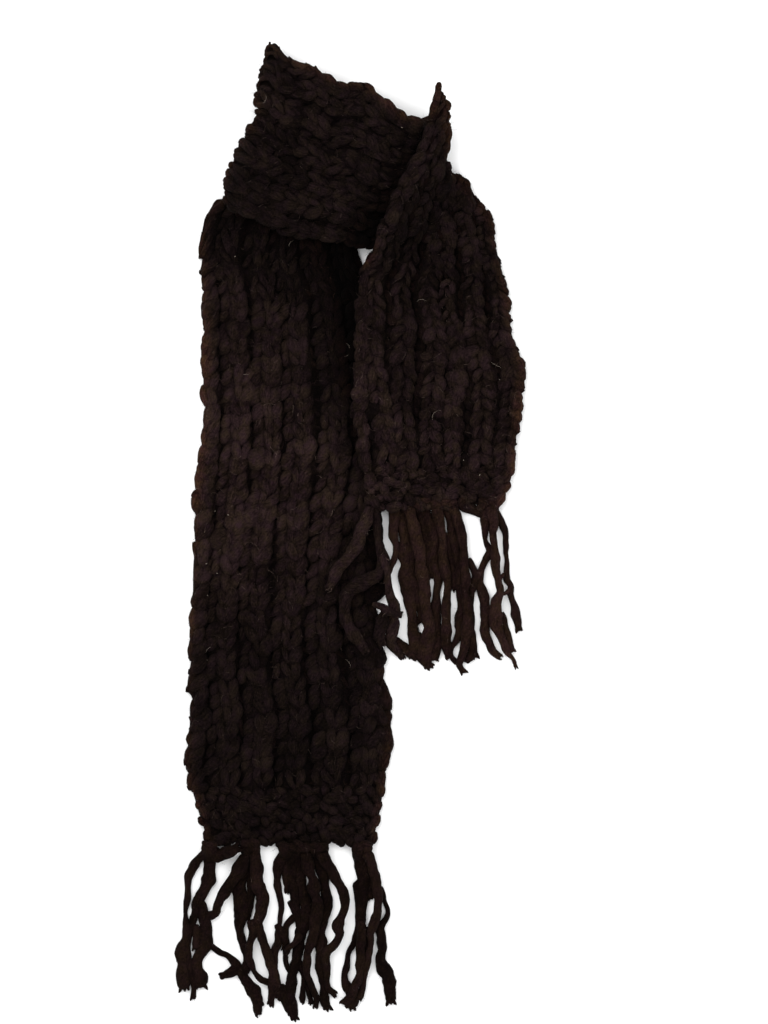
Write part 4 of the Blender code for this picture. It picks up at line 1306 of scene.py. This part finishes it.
def tie_hitch(yarns, knot, radius, shade, rng):
    """The loop of a hitch: a short plump bump over the root of its strand."""
    heading, half = rng.normal(0, HITCH_TURN), min(radius, HITCH_WIDEST) + HITCH_OVER
    ahead = np.array([math.cos(heading), math.sin(heading), 0])
    sideways, upwards = HITCH_STRAY
    place = knot + [rng.normal(0, sideways), HITCH_ABOVE + rng.normal(0, upwards), 0]
    reach, rise, girth = np.array(HITCH_TURNS).T
    line = place + np.outer(reach, ahead * half) + np.outer(rise, UPRIGHT)
    yarns.lay(line, HITCH_RADIUS * (1 + rng.normal(0, HITCH_SIZES)) * girth, shade, rng)


def layer_ring(row, low, high):
    """One ring of a hidden layer's shell, between two shares of the pile's height."""
    upper, lower = np.array((row.upper_x, row.upper_y)), np.array((row.lower_x, row.lower_y))
    length = np.linalg.norm(lower - upper)
    middle = row.height * (low + high) / 2
    bottom, top = row.height * low + CLOTH_LIFT, row.height * high - LAYER_TOP
    profile = [
        (LAYER_INSET, bottom), (length - LAYER_INSET, bottom), (length - LAYER_INSET / 2, middle),
        (length - LAYER_INSET, top), *((length * share, top) for share in LAYER_FLAT),
        (LAYER_INSET, top), (LAYER_INSET / 2, middle)
    ]
    return [(*(upper + (lower - upper) * reach / length), z) for reach, z in profile]


def layer_edge(rows, low, high):
    """The line of the slanted stitches round a hidden layer, and their radii."""
    upper = [(row.upper_x, row.upper_y, row.height) for row in rows]
    lower = [(row.lower_x, row.lower_y, row.height) for row in reversed(rows)]
    outline = np.array(upper + lower + upper[:1])
    centre = outline[:, :2].mean(axis=0)
    run = distances_along(outline[:, :2])
    turns = round(run[-1] / EDGE_PITCH)
    share = np.linspace(0, run[-1], turns * EDGE_TURN_SAMPLES)
    x, y, height = (np.interp(share, run, outline[:, k]) for k in range(3))
    places = np.column_stack([x, y])
    angle = np.linspace(0, math.tau * turns, len(share))
    thick = height * (high - low)
    radii = np.clip(thick * EDGE_GIRTH, *EDGE_RADII)
    swing = np.maximum(thick / 2 - radii, EDGE_SWING)
    reach = EDGE_INSET + EDGE_SWAY * np.cos(angle)
    places = places + unit(centre - places) * reach[:, None]
    z = height * (low + high) / 2 + swing * np.sin(angle)
    return np.column_stack([places, np.maximum(z, radii + EDGE_GAP)]), radii


def add_neck_layer(name, low, high, made, rng):
    """One hidden layer behind the neck: a rounded shell with slanted stitches round its edge."""
    samples = through(NECK_BACK_ROWS, np.linspace(0, len(NECK_BACK_ROWS) - 1, LAYER_SAMPLES))
    rows = [Pile(*row) for row in samples]
    cloth = loft(name, np.array([layer_ring(row, low, high) for row in rows]), made["under"])
    line, radii = layer_edge(rows, low, high)
    tint = smooth_noise(rng, (1, len(line)), EDGE_TINT_REACH)[0] * EDGE_TINTS + EDGE_TINT
    yarns = Yarns()
    yarns.lay(line, radii, EDGE_SHADE, rng, tint)
    return cloth, yarns.build(f"{name}_edge", made["yarn"])


def lint_line(row, trees):
    """The line of one hair or speck, over the highest wool that it crosses."""
    heading = math.radians(row.heading) + row.curl * np.linspace(0, 1, LINT_POINTS)
    step = row.length / LINT_POINTS
    x = row.x + np.cumsum(np.cos(heading)) * step
    y = row.y + np.cumsum(np.sin(heading)) * step
    top = max(top_of(trees, *place) for place in zip(x, y))
    z = top + LINT_LIFT + LINT_ARCH * np.sin(np.linspace(0, math.pi, LINT_POINTS))
    return np.column_stack([x, y, z])


def add_lint(material, rng):
    """All pale hairs and specks, as fine tubes."""
    trees = node_trees(("tail_long", "neck_band", "tail_short"))
    hairs = Yarns(LINT_SIDES, lumps=0.0, flatness=1.0)
    specks = [
        Lint(x, y, rng.uniform(-SPECK_TURN, SPECK_TURN), rng.uniform(*SPECK_LENGTHS), 0)
        for x, y in LINT_SPECKS
    ]
    for row in LINT_HAIRS + specks:
        radii = np.full(LINT_POINTS, SPECK_RADIUS if row in specks else LINT_RADIUS)
        radii *= np.sin(np.linspace(LINT_TAPER, math.pi - LINT_TAPER, LINT_POINTS))
        hairs.lay(lint_line(row, trees), radii, 1.0, rng, tint=0.0)
    return hairs.build("lint", material)


class Value:
    """A number in a shader: arithmetic on it adds Math nodes."""

    def __init__(self, graph, socket):
        self.graph, self.socket = graph, socket

    def math(self, operation, first, second):
        return self.graph.add("ShaderNodeMath", {"operation": operation}, {0: first, 1: second})

    def __add__(self, other):
        return self.math("ADD", self, other)

    def __sub__(self, other):
        return self.math("SUBTRACT", self, other)

    def __rsub__(self, other):
        return self.math("SUBTRACT", other, self)

    def __mul__(self, other):
        return self.math("MULTIPLY", self, other)

    def __pow__(self, other):
        return self.math("POWER", self, other)

    def __rpow__(self, other):
        return self.math("POWER", other, self)

    __radd__ = __add__
    __rmul__ = __mul__


class Graph:
    """A material's node tree, with one way to add any node."""

    def __init__(self, name):
        self.material = bpy.data.materials.new(name)
        self.material.use_nodes = True
        self.tree = self.material.node_tree
        self.shader = self.tree.nodes["Principled BSDF"]
        self.place = self.add("ShaderNodeTexCoord", output=3)

    def add(self, kind, settings=None, inputs=None, output=0):
        """Adds a node: its settings first, then the values and links of its sockets."""
        node = self.tree.nodes.new(kind)
        for key, value in (settings or {}).items():
            setattr(node, key, value)
        for key, value in (inputs or {}).items():
            self.join(value, node.inputs[key])
        return Value(self, node.outputs[output])

    def join(self, value, socket):
        if isinstance(value, Value):
            self.tree.links.new(value.socket, socket)
        else:
            socket.default_value = value

    def set(self, **sockets):
        """Sets the shader's sockets, which are named with underscores for spaces."""
        for name, value in sockets.items():
            self.join(value, self.shader.inputs[name.replace("_", " ")])

    def stored(self, name, output=2):
        """What is stored on each point: a number, or with output 1 a vector."""
        return self.add("ShaderNodeAttribute", {"attribute_name": name}, output=output)

    def mix(self, factor, first, second):
        """Two colours mixed."""
        return self.add(
            "ShaderNodeMix", {"data_type": "RGBA", "clamp_factor": True},
            {0: factor, 6: first, 7: second}, output=2
        )

    def noise(self, kind, vector=None):
        """One of the named noises, over the object's own space or another vector."""
        sockets = dict(zip(("Scale", "Detail", "Roughness"), NOISES[kind]))
        return self.add("ShaderNodeTexNoise", inputs={"Vector": vector or self.place, **sockets})

    def multiply(self, vector, by):
        return self.add("ShaderNodeVectorMath", {"operation": "MULTIPLY"}, {0: vector, 1: by})

    def shaded(self, colour, glow=WHITE):
        """A colour times the painted shade on each point, and times a painted glow at the outer rim."""
        shade = self.stored("shade")
        lit = self.multiply(colour, self.mix(self.stored("rim") ** RIM_FADE, rgba(WHITE), rgba(glow)))
        # Painted warmth: the colour is warmed where the painted shade is deep
        opened = self.smooth_step(shade, DEEP_SHADES)
        lit = self.multiply(lit, self.mix(opened, rgba(DEEP_WARMTH), rgba(WHITE)))
        return self.add("ShaderNodeVectorMath", {"operation": "SCALE"}, {0: lit, "Scale": shade})

    def smooth_step(self, value, limits):
        """0 under the lower limit and 1 over the upper one, with a smooth way between."""
        low, high = limits
        return self.add(
            "ShaderNodeMapRange", {"interpolation_type": "SMOOTHSTEP"},
            {"Value": value, "From Min": low, "From Max": high}
        )


def rgba(colour):
    return (*colour, 1.0)


def wool_material(name, wool, tone_and_painted_shade=WHITE, fibres=True, streaky=1.0):
    """Heathered dark wool: streaks of fibre along the yarn, paler and plum flecks, soft nap."""
    graph = Graph(name)
    if fibres:
        yarn, tint = graph.stored("fibre", output=1), graph.stored("tint")
        streaks = graph.noise("fibre streaks", graph.multiply(yarn, FIBRE_STREAKS))
        lumps = graph.noise("fibre lumps", graph.multiply(yarn, FIBRE_LUMPS))
    else:
        tint, streaks, lumps = (graph.noise(kind) for kind in ("tint", "streaks", "lumps"))
    heather = graph.noise("heather")
    mixed = heather * HEATHER_SHARE + (streaks - 0.5) * (STREAKS_SHARE * streaky) + PALE_BASE
    mixed = mixed + tint * TINT_SHARE + graph.noise("broad") * BROAD_SHARE
    base = graph.mix(graph.smooth_step(mixed, PALE_LIMITS), rgba(wool.dark), rgba(wool.light))
    flecks = graph.smooth_step(graph.noise("flecks"), FLECK_LIMITS) * FLECK_SHARE
    # The roving's own tone, and the painted shade of the cloth under the stitches
    base = graph.multiply(graph.mix(flecks, base, rgba(wool.plum)), tone_and_painted_shade)
    patches = graph.smooth_step(graph.noise("patches"), PATCH_LIMITS)
    base = graph.multiply(base, graph.mix(patches, rgba(wool.warm), rgba(wool.cool)))
    height = streaks * (BUMP_STREAKS * streaky) + lumps * (BUMP_LUMPS * streaky)
    height = height + heather * BUMP_HEATHER
    relief = {"Strength": BUMP_STRENGTH, "Distance": BUMP_DISTANCE, "Height": height}
    bump = graph.add("ShaderNodeBump", inputs=relief)
    rough = WOOL_ROUGHNESS - streaks * STREAKS_SMOOTHER
    graph.set(Base_Color=graph.shaded(base, wool.glow), Roughness=rough, Normal=bump)
    graph.set(Specular_IOR_Level=WOOL_SPECULAR, Sheen_Weight=wool.nap, Sheen_Roughness=0.5)
    graph.set(Sheen_Tint=rgba(wool.nap_tint))
    return graph.material


def fuzz_material(name, wool):
    """Loose fibres with a painted highlight: in patches they take the pale colour of fibres in the light.
    """
    graph = Graph(name)
    pale = graph.smooth_step(graph.noise("fuzz"), FUZZ_LIMITS)
    base = graph.mix(pale, rgba(wool.light), rgba(wool.fuzz))
    graph.set(Base_Color=graph.shaded(base), Roughness=0.9)
    graph.set(Specular_IOR_Level=WOOL_SPECULAR, Sheen_Weight=wool.nap)
    return graph.material


def lint_material(name, wool):
    """Pale hairs that darken in places."""
    graph = Graph(name)
    pale = graph.smooth_step(graph.noise("lint"), LINT_LIMITS)
    graph.set(Base_Color=graph.mix(pale, rgba(wool.lint), rgba(LINT_DARK)), Roughness=0.8)
    return graph.material


def floor_material(name, stage):
    """A matt floor that is a little paler in broad patches."""
    graph = Graph(name)
    paler = rgba([min(1.0, channel * FLOOR_PALER) for channel in stage.floor])
    base = graph.mix(graph.noise("floor"), rgba(stage.floor), paler)
    graph.set(Base_Color=base, Roughness=0.9, Specular_IOR_Level=0.1)
    return graph.material


def materials(wool):
    """The wool finishes, made once and shared by all pieces."""
    makers = {
        "yarn": lambda name: wool_material(name, wool),
        "roving": lambda name: wool_material(name, wool, ROVING_TONE, streaky=ROVING_STREAKY),
        # The cloth under the stitches is given a painted shade: its colour is darkened
        "under": lambda name: wool_material(name, wool, UNDER_PAINTED_SHADE, fibres=False),
        "fuzz": lambda name: fuzz_material(name, wool),
        "lint": lambda name: lint_material(name, wool),
    }
    made = {}
    for key, maker in makers.items():
        name = f"wool_{key}"
        made[key] = bpy.data.materials.get(name) or maker(name)
    return made


def metres(name, description, default, least, most):
    """A setting in metres."""
    return bpy.props.FloatProperty(
        name=name, description=description, default=default, min=least, max=most, unit="LENGTH",
        precision=5
    )


def amount(name, description, default, most, unit="NONE"):
    """A setting that is a plain number, from 0 up."""
    return bpy.props.FloatProperty(
        name=name, description=description, default=default, min=0.0, max=most, unit=unit
    )


def whole_number(name, description, default, most):
    """A setting that is a whole number."""
    return bpy.props.IntProperty(name=name, description=description, default=default, min=1, max=most)


def colour(name, description, default):
    """A setting that is a colour."""
    return bpy.props.FloatVectorProperty(
        name=name, description=description, default=default, subtype="COLOR", min=0, max=1
    )


class KnitSettings(bpy.types.PropertyGroup):
    """The yarn and the hand that knits it"""

    yarn: metres("Yarn radius", "Half the thickness of the yarn in a stitch", 0.0041, 0.001, 0.01)
    crest: metres("Crest height", "Height of a stitch's middle over the underside", 0.0082, 0.002, 0.02)
    looseness: amount("Looseness", "How uneven the hand knitting is", 1.0, 3.0)
    fuzz: whole_number("Fuzz", "Loose fibres for each metre of row", 330, 5000)
    seed: whole_number("Seed", "Start of the random draws", 7, 1000000)


class FringeSettings(bpy.types.PropertyGroup):
    """The roving of the fringe"""

    wave: metres("Wave", "How far a strand sways from its line", 0.00045, 0.0, 0.003)
    thick_thin: amount("Thick and thin", "How uneven the roving is", 0.11, 0.5)
    fuzz: whole_number("Fuzz", "Loose fibres for each group", 110, 3000)


class WoolSettings(bpy.types.PropertyGroup):
    """The colours of the wool"""

    dark: colour("Dark", "Darkest fibres", (0.0024, 0.0012, 0.0011))
    light: colour("Light", "Palest fibres", (0.0170, 0.0102, 0.0094))
    plum: colour("Plum", "Plum flecks in the heather", (0.0072, 0.0034, 0.0050))
    warm: colour("Warm patches", "Olive cast of the heather in patches", (1.0, 1.0, 0.75))
    cool: colour("Cool patches", "Plum cast of the heather in patches", (0.98, 0.86, 1.0))
    # Painted glow: how much brighter the colour is painted at the outer rim
    glow: bpy.props.FloatVectorProperty(
        name="Glow", description="How the light behind the wool brightens its outer rim",
        default=(2.8, 2.2, 1.5), min=0, max=5
    )
    # Painted highlight: the pale colour of loose fibres caught by the light
    fuzz: colour("Fuzz", "Loose fibres in the light", (0.110, 0.078, 0.062))
    lint: colour("Lint", "Pale hairs and specks", (0.30, 0.25, 0.20))
    nap: amount("Nap", "Strength of the wool's sheen", 0.004, 1.0)
    nap_tint: colour("Nap tint", "Colour of the wool's sheen", (0.85, 0.70, 0.64))


class StageSettings(bpy.types.PropertyGroup):
    """The floor and the lights"""

    floor: colour("Floor", "Colour of the floor", (0.93, 0.93, 0.93))
    key: amount("Key light", "Strength of the large soft light", 62.0, 1000.0, unit="POWER")
    sky: amount("Sky", "Strength of the light from all round", 0.85, 10.0)


def draws(context, name):
    """The random draws of one piece or group."""
    return np.random.default_rng(context.scene.scarf_knit.seed + DRAWS[name])


class SCARF_OT_strip:
    """What the operators of the three visible stretches share."""

    bl_options = {"REGISTER", "UNDO"}
    piece = ""

    def execute(self, context):
        knit, piece = context.scene.scarf_knit, PIECES[self.piece]
        made = materials(context.scene.scarf_wool)
        rng = draws(context, self.piece)
        laid = Laid(self.piece, piece, whole_relief())
        cloth = add_cloth(f"{self.piece}_cloth", piece, laid, made["under"])
        yarns = Yarns()
        knit_courses(yarns, piece, laid, knit, rng)
        if piece.border:
            seed_border(yarns, piece, laid, knit, rng)
        stitches = yarns.build(f"{self.piece}_stitches", made["yarn"])
        hairs = round(knit.fuzz * laid.length * laid.width / piece.pitch)
        fuzz = add_fuzz(f"{self.piece}_fuzz", yarns, hairs, CLOTH_HAIR, made["fuzz"], rng)
        for part in (cloth, stitches, fuzz):
            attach(part, "root")
        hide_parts(self.piece)
        return {"FINISHED"}


class SCARF_OT_tail_long(SCARF_OT_strip, bpy.types.Operator):
    """Knit the long end"""

    bl_idname = "scarf.tail_long"
    bl_label = "Long end"
    piece = "tail_long"


class SCARF_OT_neck_band(SCARF_OT_strip, bpy.types.Operator):
    """Knit the stretch that crosses the neck"""

    bl_idname = "scarf.neck_band"
    bl_label = "Neck band"
    piece = "neck_band"


class SCARF_OT_tail_short(SCARF_OT_strip, bpy.types.Operator):
    """Knit the short end"""

    bl_idname = "scarf.tail_short"
    bl_label = "Short end"
    piece = "tail_short"


class SCARF_OT_neck_back(bpy.types.Operator):
    """Lay the two hidden layers behind the neck"""

    bl_idname = "scarf.neck_back"
    bl_label = "Layers behind the neck"
    bl_options = {"REGISTER", "UNDO"}

    def execute(self, context):
        made = materials(context.scene.scarf_wool)
        rng = draws(context, "neck_back")
        for name, low, high in (("neck_back_lower", 0.0, 0.5), ("neck_back_upper", 0.5, 1.0)):
            cloth, edge = add_neck_layer(name, low, high, made, rng)
            for part in (cloth, edge):
                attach(part, "root")
            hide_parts("neck_back")
        return {"FINISHED"}


class SCARF_OT_fringe(bpy.types.Operator):
    """Tie the fringe on both ends"""

    bl_idname = "scarf.fringe"
    bl_label = "Fringe"
    bl_options = {"REGISTER", "UNDO"}

    def execute(self, context):
        made = materials(context.scene.scarf_wool)
        trees = node_trees(("tail_long", "neck_back", "neck_band"))
        rng = draws(context, "fringe")
        for name in FRINGES:
            fringe, fuzz = add_fringe(name, trees, context.scene.scarf_fringe, made, rng)
            for part in (fringe, fuzz):
                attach(part, "root")
            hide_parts(f"fringe_{name}")
        return {"FINISHED"}


class SCARF_OT_lint(bpy.types.Operator):
    """Scatter a few pale hairs and specks on the wool"""

    bl_idname = "scarf.lint"
    bl_label = "Lint"
    bl_options = {"REGISTER", "UNDO"}

    def execute(self, context):
        made = materials(context.scene.scarf_wool)
        lint = add_lint(made["lint"], draws(context, "lint"))
        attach(lint, "root")
        return {"FINISHED"}


class SCARF_OT_stage(bpy.types.Operator):
    """Set the floor, the lights and the camera over the scarf"""

    bl_idname = "scarf.stage"
    bl_label = "Stage"
    bl_options = {"REGISTER", "UNDO"}

    def execute(self, context):
        stage = context.scene.scarf_stage
        corners = np.array([(-1, -1, 0), (1, -1, 0), (1, 1, 0), (-1, 1, 0)]) * FLOOR_REACH
        mesh = new_mesh("floor", corners, [(0, 1, 2, 3)])
        floor = add_object("floor", mesh, floor_material("floor", stage))
        self.add_light(context, "key", KEY_PLACE, KEY_SIZE, stage.key)
        self.add_light(context, "fill", FILL_PLACE, FILL_SIZE, stage.key * FILL_SHARE)
        self.add_sky(context, stage.sky)
        self.add_camera(context)
        return {"FINISHED"}

    def add_light(self, context, name, place, size, power):
        """A square soft light that points at the middle of the scarf."""
        light = bpy.data.lights.new(name, "AREA")
        light.shape, light.size, light.energy = "SQUARE", size, power
        obj = bpy.data.objects.new(name, light)
        obj.location = place
        obj.rotation_mode = "QUATERNION"
        obj.rotation_quaternion = (-Vector(place)).to_track_quat("-Z", "Y")
        context.scene.collection.objects.link(obj)

    def add_sky(self, context, strength):
        """White light from all round."""
        world = bpy.data.worlds.new("studio")
        world.use_nodes = True
        background = world.node_tree.nodes["Background"]
        background.inputs["Color"].default_value = rgba(WHITE)
        background.inputs["Strength"].default_value = strength
        context.scene.world = world
        context.scene.view_settings.view_transform = "Standard"

    def add_camera(self, context):
        """A long lens straight above the scarf."""
        camera = bpy.data.cameras.new("camera")
        camera.lens = CAMERA_LENS
        camera.sensor_width = CAMERA_SENSOR
        camera.clip_end = CAMERA_FARTHEST
        obj = bpy.data.objects.new("camera", camera)
        obj.location = CAMERA_PLACE
        context.scene.collection.objects.link(obj)
        context.scene.camera = obj


class SCARF_PT_panel(bpy.types.Panel):
    """The scarf's pieces and settings"""

    bl_idname = "SCARF_PT_panel"
    bl_label = "Chunky knit scarf"
    bl_space_type = "VIEW_3D"
    bl_region_type = "UI"
    bl_category = "Scarf"

    def draw(self, context):
        for operator in OPERATORS:
            self.layout.operator(operator.bl_idname)
        for group in SETTINGS:
            settings = getattr(context.scene, group)
            box = self.layout.box()
            for name in settings.__annotations__:
                box.prop(settings, name)


SETTINGS = {
    "scarf_knit": KnitSettings,
    "scarf_fringe": FringeSettings,
    "scarf_wool": WoolSettings,
    "scarf_stage": StageSettings,
}
OPERATORS = (
    SCARF_OT_tail_long, SCARF_OT_neck_back, SCARF_OT_neck_band, SCARF_OT_tail_short,
    SCARF_OT_fringe, SCARF_OT_lint, SCARF_OT_stage,
)


def register():
    for cls in (*SETTINGS.values(), *OPERATORS, SCARF_PT_panel):
        bpy.utils.register_class(cls)
    for name, cls in SETTINGS.items():
        setattr(bpy.types.Scene, name, bpy.props.PointerProperty(type=cls))


def unregister():
    for name in SETTINGS:
        delattr(bpy.types.Scene, name)
    for cls in reversed((*SETTINGS.values(), *OPERATORS, SCARF_PT_panel)):
        bpy.utils.unregister_class(cls)


def main():
    register()
    bpy.ops.scarf.tail_long()
    bpy.ops.scarf.neck_back()
    bpy.ops.scarf.neck_band()
    bpy.ops.scarf.tail_short()
    bpy.ops.scarf.fringe()
    bpy.ops.scarf.lint()
    bpy.ops.scarf.stage()


if __name__ == "__main__":
    main()
